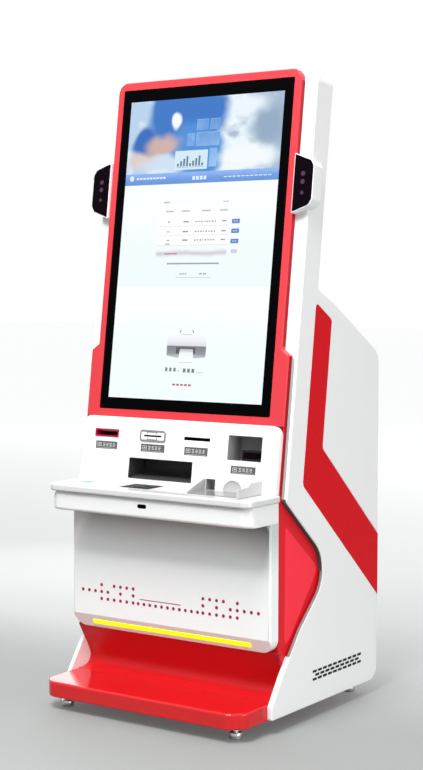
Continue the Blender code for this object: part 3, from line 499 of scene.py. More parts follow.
def make_base():
    inner = BODY_HW - CHAMFER
    corners = [
        (-inner, BASE_FRONT, 0.045), (inner, BASE_FRONT, 0.045), (BODY_HW, BASE_FRONT + CHAMFER, 0.04),
        (BODY_HW, -0.244), (BODY_HW, BASE_REAR), (-BODY_HW, BASE_REAR), (-BODY_HW, -0.244),
        (-BODY_HW, BASE_FRONT + CHAMFER, 0.04),
    ]
    plinth = slab(
        "base_plinth_shell", corners, "z", *BASE_Z, soft=(0.004, 0.0075), arc=8, steps=5,
        square=lambda u, v: v > -0.245,
    )
    inner -= 0.004
    wall = BODY_HW - 0.004
    under = [
        (-inner, BASE_FRONT + 0.005, 0.02), (inner, BASE_FRONT + 0.005, 0.02),
        (wall, BASE_FRONT + CHAMFER + 0.004, 0.02), (wall, BASE_REAR - 0.004),
        (-wall, BASE_REAR - 0.004), (-wall, BASE_FRONT + CHAMFER + 0.004, 0.02),
    ]
    carve(plinth, slab_mesh(under, "z", 0.02, BASE_Z[1] - 0.01))
    piece(plinth, BASE_RED, replaces="base_plinth")
    face = smooth_curve(
        [(-0.199, 0.2317), (-0.18, 0.1992), (-0.16, 0.1665), (-0.1455, 0.14), (-0.1405, 0.1215),
         (-0.1455, 0.105), (-0.1585, 0.0942), (-0.178, 0.0896), (-0.205, 0.0883)], 6
    )
    solid("toe_kick", RED_METAL, ribbon(face[::-1], 0.0035), "x", -BODY_HW, BODY_HW, angle=60.0)
    inside = BODY_HW - 0.0005
    backing = [slab_mesh(rect((-inside, inside), (0.215, 0.285)), "y", -0.1838, -0.18)]
    backing.append(slab_mesh(rect((-inside, inside), (-0.1985, -0.184)), "z", 0.228, 0.2312))
    group("kick_backing", backing, RED_METAL, weighted=True)
    # The kick's end strips use the painted-shade red.
    for side, sign in SIDES:
        rim = [p for p in face if p[1] > 0.089]
        solid(
            f"kick_end_{side}", RED_PAINTED_SHADE, ribbon(rim[::-1], 0.013), "x",
            *span(sign, BODY_HW - 0.0015, BODY_HW + 0.0006), slot="red_metal", angle=60.0,
        )


def make_foot(name, x, y):
    """Levelling foot: pad, ball neck, locking nut and a stem with thread ridges."""
    profile = [
        (0.0, 0.0), (0.017, 0.0), (0.0184, 0.001), (0.019, 0.0026), (0.019, 0.0068), (0.018, 0.0082),
        (0.018, 0.0096), (0.019, 0.011), (0.019, 0.0178), (0.018, 0.0196), (0.016, 0.0204),
        (0.009, 0.0208), (0.0078, 0.022), (0.0058, 0.0228),
    ]
    for k in range(18):
        level = 0.024 + 0.0025 * k
        profile += [(0.0054, level), (0.006, level + 0.00125)]
    profile += [(0.0054, 0.0725), (0.0, 0.0725)]
    foot = make_object(name, lathe_mesh("z", (x, y), profile, 36))
    piece(foot, CHROME, replaces=name.replace("leveller", "foot"), weighted=False)
    low_nut = (circle((x, y), 0.0118, 6), "z", 0.0245, 0.0325)
    solid(name + "_nut", CHROME, *low_nut, soft=(0.0012, 0.0012), steps=2)
    solid(
        name + "_collar", STEEL, circle((x, y), 0.015), "z", 0.033, 0.0398, soft=(0.0008, 0.0008), steps=2,
        slot="chrome",
    )


make_base()
for row, foot_y in zip(("front", "rear"), FOOT_Y):
    for side, sign in SIDES:
        make_foot(f"leveller_{row}_{side}", sign * FOOT_X, foot_y)

# ---- knee panel ---------------------------------------------------------------------------
KNEE_Z = (0.232, 0.6157)
KNEE_Y = (-0.2275, -0.1843)
SCOOP_START = 0.395
SCOOP_DEPTH = 0.094
SCOOP_HW = 0.3655
SCOOP_END = 0.05


def scoop_depth(x, z):
    """How far the knee space's back lies behind the panel's front at (x, z)."""
    rise = max(0.0, (z - SCOOP_START) / (KNEE_Z[1] - SCOOP_START))
    near_end = max(0.0, (abs(x) - (SCOOP_HW - SCOOP_END)) / SCOOP_END)
    side = math.sqrt(max(0.0, 1.0 - min(1.0, near_end) ** 2.2))
    return SCOOP_DEPTH * rise**2.7 * side


def scoop_tool():
    """Closed cutter whose back is the curved knee space."""
    bm = bmesh.new()
    across = 72
    upward = 44
    front = KNEE_Y[0] - 0.02
    top = KNEE_Z[1] + 0.012
    grid = []
    for j in range(upward + 1):
        z = SCOOP_START + (top - SCOOP_START) * j / upward
        line = []
        for i in range(across + 1):
            turn = math.pi * i / across
            x = -SCOOP_HW * math.cos(turn)
            depth = scoop_depth(x, min(z, KNEE_Z[1]))
            line.append(bm.verts.new((x, KNEE_Y[0] + depth, z)))
        grid.append(line)
    rim = [[bm.verts.new((v.co.x, front, v.co.z)) for v in line] for line in (grid[0], grid[-1])]
    for lower, upper in zip(grid, grid[1:]):
        for i in range(across):
            bm.faces.new((lower[i], lower[i + 1], upper[i + 1], upper[i]))
    for i in range(across):
        bm.faces.new((grid[0][i], grid[0][i + 1], rim[0][i + 1], rim[0][i]))
        bm.faces.new((grid[-1][i], grid[-1][i + 1], rim[1][i + 1], rim[1][i]))
    for end in (0, -1):
        bm.faces.new([line[end] for line in grid] + [rim[1][end], rim[0][end]])
    bm.faces.new(rim[0] + rim[1][::-1])
    bmesh.ops.recalc_face_normals(bm, faces=bm.faces)
    return bm


BEVEL_TOP = (-0.2275, 0.274)
BEVEL_FOOT = (-0.2075, 0.232)


def make_knee_panel():
    corners = [
        (-BODY_HW, KNEE_Z[0], 0.04), (BODY_HW, KNEE_Z[0], 0.04), (BODY_HW, KNEE_Z[1]),
        (-BODY_HW, KNEE_Z[1]),
    ]
    panel = slab(
        "knee_panel_shell", corners, "y", *KNEE_Y, soft=(0.008, 0.0), arc=12, steps=6,
        square=lambda u, v: v > KNEE_Z[1] - 0.001,
    )
    back = slab_mesh(
        rect((-SCOOP_HW - 0.002, SCOOP_HW + 0.002), (SCOOP_START, KNEE_Z[1]), 0.0), "y",
        KNEE_Y[1] - 0.002, KNEE_Y[0] + SCOOP_DEPTH + 0.003,
    )
    carve(panel, back, operation="UNION")
    carve(panel, scoop_tool())
    run = BEVEL_TOP[0] - BEVEL_FOOT[0]
    rise = BEVEL_TOP[1] - BEVEL_FOOT[1]
    foot = (BEVEL_FOOT[0] - run * 0.3, BEVEL_FOOT[1] - rise * 0.3)
    head = (BEVEL_TOP[0] + run * 0.3, BEVEL_TOP[1] + rise * 0.3)
    wedge = [head, (-0.3, head[1]), (-0.3, foot[1]), foot]
    carve(panel, slab_mesh(wedge, "x", -0.5, 0.5))
    # The knee panel's finish carries painted shade.
    piece(panel, KNEE_SHADED_WHITE, replaces="knee_panel", angle=33.0)


def make_knee_corners():
    """Quarter-round fillets where the knee space's ends meet the desk's underside."""
    radius = 0.03
    top = KNEE_Z[1] - 0.0001
    for side, sign in SIDES:
        wall = SCOOP_HW + 0.0008
        points = [(sign * wall, top), (sign * wall, top - radius)]
        for k in range(1, 9):
            turn = math.pi / 2 * k / 9
            u = wall - radius + radius * math.cos(turn)
            points.append((sign * u, top - radius + radius * math.sin(turn)))
        points.append((sign * (wall - radius), top))
        solid(f"knee_corner_{side}", KNEE_SHADED_WHITE, points, "y", KNEE_Y[0] + 0.0004, KNEE_Y[0] + 0.04)


STRIP_HW = 0.2975
STRIP_Z = 0.2505


def make_light_strip():
    lean = math.atan2(BEVEL_TOP[0] - BEVEL_FOOT[0], BEVEL_TOP[1] - BEVEL_FOOT[1])
    share = (STRIP_Z - BEVEL_FOOT[1]) / (BEVEL_TOP[1] - BEVEL_FOOT[1])
    y = BEVEL_FOOT[0] + (BEVEL_TOP[0] - BEVEL_FOOT[0]) * share
    turn = Matrix.Translation((0.0, y - 0.0012, STRIP_Z)) @ Matrix.Rotation(-lean, 4, "X")
    strip = slab(
        "light_strip_lens", rect((-STRIP_HW, STRIP_HW), (-0.0078, 0.0078), 0.004), "y", -0.001, 0.001,
        soft=(0.0012, 0.0), steps=3,
    )
    strip.data.transform(turn)
    piece(strip, YELLOW, replaces="light_strip")


DOT_RADIUS = 0.0054
DOT_ROWS = (0.3725, 0.351, 0.329)
DOT_PITCH = 0.0248


def make_dots():
    """Printed band: dots in mirrored zigzag groups, a dotted line between them and a thin rule."""
    places = []
    for sign in (-1.0, 1.0):
        for k in range(9):
            x = sign * (0.33 - DOT_PITCH * k)
            if k in (3, 6, 8):
                rows = (0, 1, 2)
            elif k in (5, 7):
                rows = (0, 2)
            elif k == 4:
                rows = (1, 2)
            else:
                rows = (1,)
            places += [(x, DOT_ROWS[row]) for row in rows]
    places += [(-0.112 + 0.0224 * k, DOT_ROWS[2]) for k in range(11)]
    meshes = []
    for x, z in places:
        meshes.append(slab_mesh(circle((x, z), DOT_RADIUS, 14), "y", KNEE_Y[0] - 0.00025, KNEE_Y[0] + 0.0004))
    rule = rect((-0.106, 0.049), (0.3418, 0.3445))
    meshes.append(slab_mesh(rule, "y", KNEE_Y[0] - 0.00025, KNEE_Y[0] + 0.0004))
    group("printed_band", meshes, DOT_RED)


make_knee_panel()
make_knee_corners()
make_light_strip()
make_dots()

# ---- side panels, stripes, inner walls ----------------------------------------------------
SHELL_D = 0.0195
HEAD_D = 0.112
CAP_S = 0.965
HEAD_TOP = 1.01
HALF_DEPTH = 0.3885
SOFT = 0.0055


def side_corners():
    shell_front = head_s(0.676, SHELL_D)
    return [
        (-0.2425, 0.042, 0.008), (-0.2425, 0.083, 0.012), (-0.1805, 0.172, 0.3), (-0.0875, 0.285, 0.3),
        (0.097, 0.4509, 0.105), (*head_yz(SHELL_D, shell_front), 0.012),
        head_yz(SHELL_D, CAP_S), head_yz(HEAD_D, CAP_S), (*head_yz(HEAD_D, head_s(1.3, HEAD_D)), 0.01),
        (0.1, 1.257, 0.3), (HALF_DEPTH, 1.095, 0.065), (HALF_DEPTH, 0.042, 0.045),
    ]


def stripe_corners(grow):
    front = 0.105 - grow
    rear = 0.2035 + grow
    back_y = HALF_DEPTH - 0.0006 + grow * 8
    lift = grow * 1.33
    return [
        (*head_yz(front, head_s(1.259, front) + grow * 1.3), 0.01),
        (*head_yz(rear, head_s(1.206, rear) + grow * 1.3), 0.016),
        (*head_yz(rear, head_s(0.818, rear) + lift), 0.02),
        (back_y, 0.5135 + lift), (back_y, 0.317 - grow * 9),
        (*head_yz(front, head_s(0.717, front) - lift * 0.4), 0.025),
    ]


TRIM_TOP = head_yz(SHELL_D, head_s(0.676, SHELL_D))[1] + 0.008
VENT_ROWS = ((0.143, 0.0, 10), (0.131, 0.5, 9), (0.119, 0.0, 10))
VENT_PITCH = 0.0303
INLAY = 0.0016


def at_cap(y, z):
    """True at the side panel's upper end, which the head's cap continues."""
    return z > 1.6 and (Vector((y, z)) - Vector(head_yz((SHELL_D + HEAD_D) / 2, CAP_S))).length < 0.04


def vent_meshes(sign, grow, near, far):
    meshes = []
    for level, shift, count in VENT_ROWS:
        for k in range(count):
            middle = -0.001 + (k + shift) * VENT_PITCH
            half = (0.0125 + grow, 0.0041 + grow)
            outline = rect((middle - half[0], middle + half[0]), (level - half[1], level + half[1]), 0.0016)
            meshes.append(slab_mesh(outline, "x", *span(sign, near, far), arc=3))
    return meshes


def make_side(side, sign):
    outer = (SOFT, 0.001) if sign < 0 else (0.001, SOFT)
    panel = slab(
        f"side_cladding_{side}", side_corners(), "x", *span(sign, BODY_HW + GAP, OUTER_HW), soft=outer,
        arc=10, steps=5, square=at_cap,
    )
    floor = OUTER_HW - INLAY
    carve(panel, slab_mesh(stripe_corners(GAP * 2), "x", *span(sign, floor, OUTER_HW + 0.01)))
    carve(panel, *vent_meshes(sign, 0.0, BODY_HW - 0.01, OUTER_HW + 0.01))
    group(f"vent_mesh_{side}", vent_meshes(sign, -0.0001, OUTER_HW - 0.003, OUTER_HW - 0.0005), BLACK)
    piece(panel, WHITE, replaces=f"side_panel_{side}", angle=33.0)
    soft = (0.0006, 0.0) if sign < 0 else (0.0, 0.0006)
    solid(
        f"stripe_inlay_{side}", RED_GLOSS, stripe_corners(0.0), "x", *span(sign, floor, OUTER_HW + 0.0002),
        soft=soft, arc=10, steps=2, replaces=f"side_stripe_{side}",
    )
    accent = [
        (-0.1475, 0.604, 0.006), (-0.1285, 0.586, 0.02), (0.04, 0.4536, 0.024),
        (-0.118, 0.265, 0.02), (-0.1505, 0.245, 0.01),
    ]
    solid(
        f"accent_plate_{side}", RED_BRIGHT, accent, "x", *span(sign, BODY_HW - 0.0005, BODY_HW + 0.0008),
        soft=(0.0005, 0.0005), steps=2,
    )


def edge_run(low, high):
    """The side panel's front edge between two heights, from the top down."""
    corners = [Vector((y - 0.0004, z)) for y, z in rounded(side_corners(), 10)]
    top = next(i for i, p in enumerate(corners) if p.y > 1.5)
    run = []
    for here, there in zip(corners[:top], corners[1 : top + 1]):
        if there.y <= here.y or there.y <= low or here.y >= high:
            continue
        rise = there.y - here.y
        start = max(0.0, (low - here.y) / rise)
        end = min(1.0, (high - here.y) / rise)
        steps = max(1, int(rise * (end - start) / 0.012))
        for k in range(steps + (there.y >= high)):
            run.append(tuple(here.lerp(there, start + (end - start) * k / steps)))
    return run[::-1]


def make_edge_shade(side, sign):
    """Painted shade: dark, grey and dark red strips in the corner between the inner wall and the side panel's
    front edge, which lies in shade, laid over the dark joint there.
    """
    strips = (
        ("edge_painted_shade", edge_run(0.443, TRIM_TOP), (BODY_HW + 0.0008, OUTER_HW - 0.003), EDGE_SHADE_DARK),
        ("toe_painted_shade", edge_run(0.215, 0.443), (BODY_HW + 0.0085, OUTER_HW - 0.0014), EDGE_SHADE_GREY),
        ("toe_painted_red_shade", edge_run(0.215, 0.443), (BODY_HW + 0.0004, BODY_HW + 0.0085), RED_PAINTED_SHADE),
        ("side_painted_shade", edge_run(TRIM_TOP, 1.095), (BODY_HW + 0.0008, BODY_HW + 0.008), SIDE_SHADE_GREY),
    )
    for name, run, (near, far), finish in strips:
        solid(f"{name}_{side}", finish, ribbon(run, 0.0025), "x", *span(sign, near, far), angle=60.0)


for side, sign in SIDES:
    make_side(side, sign)
    make_edge_shade(side, sign)
    NODES[f"inner_wall_{side}"].data.materials.clear()
    NODES[f"inner_wall_{side}"].data.materials.append(RED_WALL)

# ---- head ---------------------------------------------------------------------------------
GLASS_HW = 0.3197
GLASS_S = (-0.036, 0.98)
ACTIVE_HW = 0.2877
ACTIVE_S = (0.0, 0.9409)
PANEL_TOP = -0.061


def make_head_shell():
    low = 0.15
    corners = [
        (-BODY_HW, low), (BODY_HW, low), (BODY_HW, CAP_S + GAP), (OUTER_HW, CAP_S + GAP),
        (OUTER_HW, HEAD_TOP, 0.044), (-OUTER_HW, HEAD_TOP, 0.044), (-OUTER_HW, CAP_S + GAP),
        (-BODY_HW, CAP_S + GAP),
    ]
    shell = slab(
        "head_housing", corners, "head", SHELL_D, HEAD_D, soft=(SOFT, 0.003), arc=12, steps=5,
        square=lambda u, v: v < CAP_S + 0.0004,
    )
    inner = BODY_HW - 0.003
    outer = BODY_HW + 0.01
    pocket = [
        (-outer, low - 0.01), (outer, low - 0.01), (outer, 0.3), (inner, 0.3),
        (inner, HEAD_TOP - 0.003, 0.03), (-inner, HEAD_TOP - 0.003, 0.03), (-inner, 0.3), (-outer, 0.3),
    ]
    carve(shell, slab_mesh(pocket, "head", SHELL_D + 0.003, HEAD_D + 0.01))
    window = rect((-0.33, 0.33), (low - 0.02, 0.99))
    carve(shell, slab_mesh(window, "head", SHELL_D - 0.01, SHELL_D + 0.02))
    piece(shell, WHITE, replaces="head_shell", angle=33.0)


def make_bezel():
    wide = BODY_HW - 0.001
    corners = [
        (-wide, PANEL_TOP + GAP), (wide, PANEL_TOP + GAP), (wide, 0.149, 0.008), (0.344, 0.168, 0.008),
        (0.344, 1.006, 0.033), (-0.344, 1.006, 0.033), (-0.344, 0.168, 0.008), (-wide, 0.149, 0.008),
    ]
    bezel = slab(
        "display_surround", corners, "head", 0.0, SHELL_D - GAP, soft=(0.005, 0.0), arc=12, steps=5,
        square=lambda u, v: v < PANEL_TOP + 0.001,
    )
    hole = grown((-GLASS_HW, GLASS_HW), GLASS_S, 0.0006, 0.004)
    carve(bezel, slab_mesh(hole, "head", -0.01, 0.04, arc=5))
    piece(bezel, RED, replaces="display_bezel", angle=33.0)
    # The surround's return strips use the painted-shade red.
    returns = ((wide - 0.0008, BODY_HW + 0.0006, (-0.262, 0.1465)), (0.3432, 0.3444, (0.176, 0.97)))
    for side, sign in SIDES:
        strips = [rect(span(sign, near, far), s) for near, far, s in returns]
        meshes = [slab_mesh(strip, "head", 0.0052, SHELL_D - GAP) for strip in strips]
        group(f"surround_return_{side}", meshes, RED_PAINTED_SHADE)
    solid(
        "touch_glass", GLASS, rect((-GLASS_HW, GLASS_HW), GLASS_S, 0.0036), "head", 0.0002, 0.0042,
        soft=(0.0008, 0.0), arc=5, steps=2, replaces="display_glass",
    )


CAMERA_X = (0.3446, 0.414)
CAMERA_S = 0.659
CAMERA_FRONT = -0.008


def camera_corners(sign, trim):
    near = CAMERA_X[0] + trim
    far = CAMERA_X[1] - trim
    tall = 0.09 - trim * 1.5
    short = 0.051 - trim * 0.7
    mid = far - 0.01
    half = [(near, tall, 0.002), (mid, short + 0.017, 0.012), (far, short, 0.01)]
    upper = [(sign * x, CAMERA_S + h, r) for x, h, r in half]
    lower = [(sign * x, CAMERA_S - h, r) for x, h, r in reversed(half)]
    return upper + lower


def make_camera_module(side, sign):
    body = slab(
        f"camera_pod_{side}", camera_corners(sign, 0.0), "head", CAMERA_FRONT, 0.045, soft=(0.0018, 0.004),
        arc=6, steps=3,
    )
    carve(body, slab_mesh(rect(span(sign, 0.3, OUTER_HW + GAP), (0.5, 0.83)), "head", SHELL_D - GAP, 0.06))
    carve(body, slab_mesh(camera_corners(sign, 0.0022), "head", -0.03, CAMERA_FRONT + 0.0018, arc=6))
    piece(body, WHITE, replaces=f"camera_housing_{side}", angle=33.0)
    solid(
        f"camera_glass_{side}", SMOKE, camera_corners(sign, 0.0025), "head", CAMERA_FRONT + 0.0004,
        CAMERA_FRONT + 0.0017, soft=(0.0005, 0.0), arc=6, steps=2, replaces=f"camera_window_{side}",
    )
    centre = sign * (CAMERA_X[0] + 0.033)
    rings = []
    lenses = []
    glass = CAMERA_FRONT + 0.0004
    for offset, radius in ((0.027, 0.0065), (0.003, 0.0065), (-0.03, 0.005)):
        spot = (centre, CAMERA_S + offset)
        wide = radius * 1.25
        rings.append(lathe_mesh("head", spot, [
            (0.0, glass - 0.0001), (radius, glass - 0.0001), (radius, glass - 0.0004), (wide, glass - 0.0004),
            (wide, glass), (0.0, glass),
        ], 28))
        lenses.append(lathe_mesh("head", spot, [
            (0.0, glass - 0.00036), (radius * 0.45, glass - 0.00032), (radius * 0.8, glass - 0.00022),
            (radius * 0.95, glass - 0.00012), (0.0, glass - 0.00012),
        ], 28))
    group(f"lens_rings_{side}", rings, BLACK)
    # The lens caps carry a painted reflection.
    group(f"lens_caps_{side}", lenses, LENS_GLINT)


make_head_shell()
make_bezel()
for side, sign in SIDES:
    make_camera_module(side, sign)

# ---- screen picture -----------------------------------------------------------------------
SCREEN_D = 0.00012                  # the page, just in front of the glass
LAYER_STEP = 0.00003                # each layer lies this far in front of the one below


def srgb(red, green, blue):
    shares = (c / 255.0 for c in (red, green, blue))
    return tuple(c / 12.92 if c < 11 / 255.0 else ((c + 0.055) / 1.055) ** 2.4 for c in shares)


def glowing(name, color):
    made = new_material(name, (0.0, 0.0, 0.0), 0.12, emission=color, power=1.0)
    shader_of(made).inputs["Specular IOR Level"].default_value = 0.25
    return made


def gradient(name, stops, axis, low, high, ripple=0.0, scale=6.0, squash=(1.0, 1.0, 1.0)):
    """Glowing picture whose colours change along one axis of the piece, blurred by noise."""
    made = glowing(name, (1.0, 1.0, 1.0))
    tree = made.node_tree
    share = map_range(tree, position(tree, axis), 0.0, 1.0, low, high)
    if ripple > 0.0:
        shift = map_range(tree, add_noise(tree, scale, 3.0, squash), -ripple, ripple, 0.25, 0.75)
        share = add(tree, "Math", {0: share, 1: shift}, operation="ADD").outputs["Value"]
    color = color_ramp(tree, share, [(at, srgb(*tint)) for at, tint in stops])
    tree.links.new(color, shader_of(made).inputs["Emission Color"])
    return made


def upward(name, low, high, stops, *ripple):
    """A gradient up the display, between two heights along it."""
    return gradient(name, stops, "Z", head_yz(0.0, low)[1], head_yz(0.0, high)[1], *ripple)


def picture(name, layer, look, outlines):
    """Thin pieces of the screen's picture; look is a colour or a material."""
    front = SCREEN_D - LAYER_STEP * layer
    meshes = [slab_mesh(corners, "head", front, front + 0.00002, arc=6) for corners in outlines]
    group(name, meshes, glowing(name, srgb(*look)) if isinstance(look, tuple) else look)


def dashes(x, s, height, widths, gap=0.0016):
    """A line of small bars that stands for text without any lettering."""
    out = []
    for width in widths:
        out.append(rect((x, x + width), (s - height / 2, s + height / 2)))
        x += width + gap
    return out


WHOLE = (-ACTIVE_HW, ACTIVE_HW)
HEADER_S = (0.6727, 0.7085)
BANNER_S = (0.7085, 0.9409)
BANNER_STOPS = (
    (0.0, (186, 212, 238)), (0.25, (228, 242, 252)), (0.55, (206, 228, 246)), (0.8, (240, 250, 255)),
    (1.0, (170, 192, 214)),
)
BANNER_BLOBS = (                    # centre, size, softness, colour
    ((0.235, 0.85), (0.055, 0.06), 0.6, (150, 172, 196)),
    ((0.15, 0.905), (0.07, 0.03), 0.7, (236, 246, 253)),
    ((-0.062, 0.885), (0.15, 0.105), 0.16, (64, 122, 200)),
    ((-0.02, 0.775), (0.104, 0.09), 0.2, (84, 146, 218)),
    ((-0.218, 0.8), (0.048, 0.055), 0.25, (58, 112, 190)),
    ((-0.15, 0.8), (0.062, 0.03), 0.45, (206, 178, 172)),
    ((-0.215, 0.752), (0.066, 0.026), 0.5, (224, 204, 200)),
    ((0.17, 0.752), (0.105, 0.036), 0.45, (244, 250, 254)),
    ((-0.12, 0.735), (0.1, 0.026), 0.6, (206, 226, 244)),
    ((-0.102, 0.868), (0.023, 0.027), 0.22, (246, 250, 254)),
)
TILES = (
    ((-0.024, 0.02), (0.838, 0.872)), ((0.026, 0.064), (0.838, 0.872)), ((-0.06, -0.03), (0.79, 0.83)),
    ((-0.024, 0.064), (0.788, 0.831)), ((0.03, 0.058), (0.722, 0.78)),
)


def blend_blob(tree, coords, color, centre, size, softness, tint):
    """Lays a soft-edged ellipse of tint over a picture's colour."""
    where = {"Location": (centre[0], *head_yz(0.0, centre[1])), "Scale": (size[0], 10.0, size[1])}
    mapping = add(tree, "Mapping", {**where, "Vector": coords}, vector_type="TEXTURE")
    length = add(tree, "VectorMath", {0: mapping.outputs["Vector"]}, operation="LENGTH")
    mask = map_range(tree, length.outputs["Value"], 1.0, 0.0, 1.0 - softness, 1.0 + softness)
    mix = add(tree, "Mix", {"B": (*srgb(*tint), 1.0), "Factor": mask, "A": color}, data_type="RGBA")
    return mix.outputs["Result"]


def banner_blur():
    """Abstract out-of-focus picture: soft ellipses whose edges wander."""
    blur = gradient("banner_blur", BANNER_STOPS, "X", *WHOLE, 0.3, 9.0, (1.0, 1.0, 1.4))
    tree = blur.node_tree
    target = shader_of(blur).inputs["Emission Color"]
    color = target.links[0].from_socket
    place = position(tree)
    wander = (0.05, 0.0, 0.05)
    wobble = add(tree, "TexNoise", {"Scale": 14.0, "Detail": 1.0, "Vector": place}).outputs["Color"]
    shift = add(tree, "VectorMath", {0: wobble, 1: wander, 2: place}, operation="MULTIPLY_ADD")
    middle = {0: shift.outputs["Vector"], 1: [c / 2 for c in wander]}
    coords = add(tree, "VectorMath", middle, operation="SUBTRACT").outputs["Vector"]
    for blob in BANNER_BLOBS:
        color = blend_blob(tree, coords, color, *blob)
    tree.links.new(color, target)
    return blur


def make_banner():
    """The picture, with pale tiles and a card with a bar chart in front of it."""
    picture("banner_picture", 1, banner_blur(), [rect(WHOLE, BANNER_S)])
    tint = upward("banner_tiles", *BANNER_S, ((0.0, (150, 196, 240)), (1.0, (84, 140, 212))), 0.25, 18.0)
    picture("banner_tiles", 2, tint, [rect(u, v, 0.003) for u, v in TILES])
    frames = []
    for u, v in (TILES[0], TILES[1], TILES[3]):
        frames += [rect(u, (v[1] - 0.001, v[1])), rect((u[0], u[0] + 0.001), v)]
    picture("banner_frames", 3, (176, 210, 246), frames)
    picture("banner_card", 4, (214, 234, 248), [rect((-0.1, 0.024), (0.716, 0.776), 0.003)])
    marks = []
    for k in range(9):
        left = -0.09 + 0.0115 * k
        marks.append(rect((left, -0.083 + 0.0115 * k), (0.727, 0.736 + 0.0075 * ((k * 5) % 4))))
    marks.append(rect((-0.09, 0.012), (0.7235, 0.7245)))
    picture("banner_marks", 5, (96, 128, 160), marks)


def make_header():
    look = upward(
        "header_bar", *HEADER_S, ((0.0, (106, 152, 220)), (0.55, (122, 162, 232)), (1.0, (146, 184, 242))),
        0.1, 20.0,
    )
    picture("header_bar", 2, look, [rect(WHOLE, HEADER_S)])
    picture(
        "header_marks", 3, (226, 238, 252),
        [
            *dashes(-0.244, 0.6935, 0.0058, [0.01] * 9, 0.003),
            *dashes(-0.0275, 0.689, 0.0115, [0.0105] * 4, 0.0035),
            *dashes(0.09, 0.689, 0.003, [0.012] * 11, 0.004), circle((-0.2623, 0.6945), 0.0085, 28),
        ],
    )


def make_table():
    """Rows of bars with a button at the end of each, on a white card."""
    picture("table_card", 1, (254, 254, 255), [rect((-0.1465, 0.1225), (0.48, 0.606), 0.002)])
    rules = [rect((-0.1416, 0.1228), (s - 0.0006, s + 0.0006)) for s in (0.5395, 0.511, 0.4803)]
    picture("table_rules", 2, (214, 216, 226), rules)
    faint = dashes(-0.128, 0.6152, 0.005, [0.007, 0.006, 0.006]) + dashes(0.0963, 0.6127, 0.0032, [0.005] * 3)
    for x, width in ((-0.1169, 0.006), (-0.0572, 0.0062), (0.0191, 0.0068), (0.0856, 0.006)):
        faint += dashes(x, 0.5863, 0.0046, [width] * 4, 0.0014)
    faint += dashes(-0.0487, 0.3908, 0.005, [0.005] * 4, 0.002)
    faint += dashes(0.0255, 0.3908, 0.005, [0.011] * 2, 0.004)
    picture("faint_marks", 3, (176, 178, 186), faint + [rect((-0.0627, 0.0716), (0.3788, 0.38))])
    strong = []
    for s in (0.553, 0.5223, 0.4957):
        strong += dashes(-0.1075, s, 0.0036, [0.0035] * 2) + dashes(-0.048, s, 0.0042, [0.0042] * 4, 0.001)
        number = [0.005, 0.0042, 0.005, 0.003, 0.005, 0.0042, 0.005, 0.0042]
        strong += dashes(-0.002, s - 0.0003, 0.004, number, 0.0056)
        strong += dashes(0.0965, s, 0.004, [0.0042] * 3, 0.0012)
    strong += dashes(-0.111, 0.4843, 0.0036, [0.004] * 3) + dashes(
        -0.099, 0.4227, 0.0046, [0.0052] * 28, 0.0018,
    )
    picture("table_marks", 3, (112, 114, 124), strong)
    rows = (0.5512, 0.5215, 0.4902)
    picture(
        "buttons", 2, (104, 132, 200),
        [rect((0.1325, 0.1612), (s - 0.0069, s + 0.0069), 0.002) for s in rows],
    )
    picture("button_off", 2, (206, 210, 232), [rect((0.1355, 0.159), (0.4535, 0.465), 0.002)])
    bars = [bar for s in rows for bar in dashes(0.1385, s, 0.004, [0.006] * 2, 0.0032)]
    picture("button_marks", 3, (196, 208, 236), bars)
    stops = ((0.0, (243, 250, 252)), (0.45, (208, 210, 218)), (0.7, (216, 216, 224)), (1.0, (246, 248, 252)))
    band = upward("notice_band", 0.44, 0.468, stops, 0.08, 12.0)
    picture("notice_band", 2, band, [rect((-0.145, 0.12), (0.44, 0.468), 0.006)])


def make_printer_icon():
    stops = ((0.0, (222, 224, 232)), (0.35, (240, 241, 248)), (1.0, (252, 253, 255)))
    body = [(-0.0745, 0.1665), (0.073, 0.1665), (0.07, 0.2095, 0.004), (-0.0715, 0.211, 0.004)]
    picture("icon_body", 2, upward("icon_body", 0.165, 0.212, stops), [body])
    stops = ((0.0, (196, 198, 206)), (0.3, (150, 153, 160)), (1.0, (134, 137, 143)))
    skirt = [
        (-0.0735, 0.1365, 0.003), (-0.036, 0.131), (0.036, 0.131), (0.0725, 0.1345, 0.003), (0.0735, 0.168),
        (-0.0745, 0.168),
    ]
    picture("icon_skirt", 3, upward("icon_skirt", 0.13, 0.168, stops), [skirt])
    picture("icon_slot", 4, (92, 95, 100), [rect((-0.0385, 0.0335), (0.144, 0.164), 0.002)])
    stops = ((0.0, (252, 253, 255)), (0.75, (243, 245, 249)), (1.0, (190, 194, 200)))
    sheet = [(-0.029, 0.118), (0.029, 0.118), (0.0245, 0.159), (-0.024, 0.159)]
    picture("icon_sheet", 5, upward("icon_sheet", 0.118, 0.16, stops), [sheet])
    picture("icon_guides", 3, (78, 80, 86), [
        [(-0.0285, 0.2085), (-0.025, 0.2085), (-0.024, 0.2195), (-0.0258, 0.2195)],
        [(0.0185, 0.2195), (0.0172, 0.2195), (0.0205, 0.2085), (0.0245, 0.2085)],
    ])
    lines = [rect((-0.022, 0.019), (0.203, 0.2045)), rect((-0.027, 0.027), (0.1168, 0.118))]
    picture("icon_lines", 6, (170, 173, 180), lines)


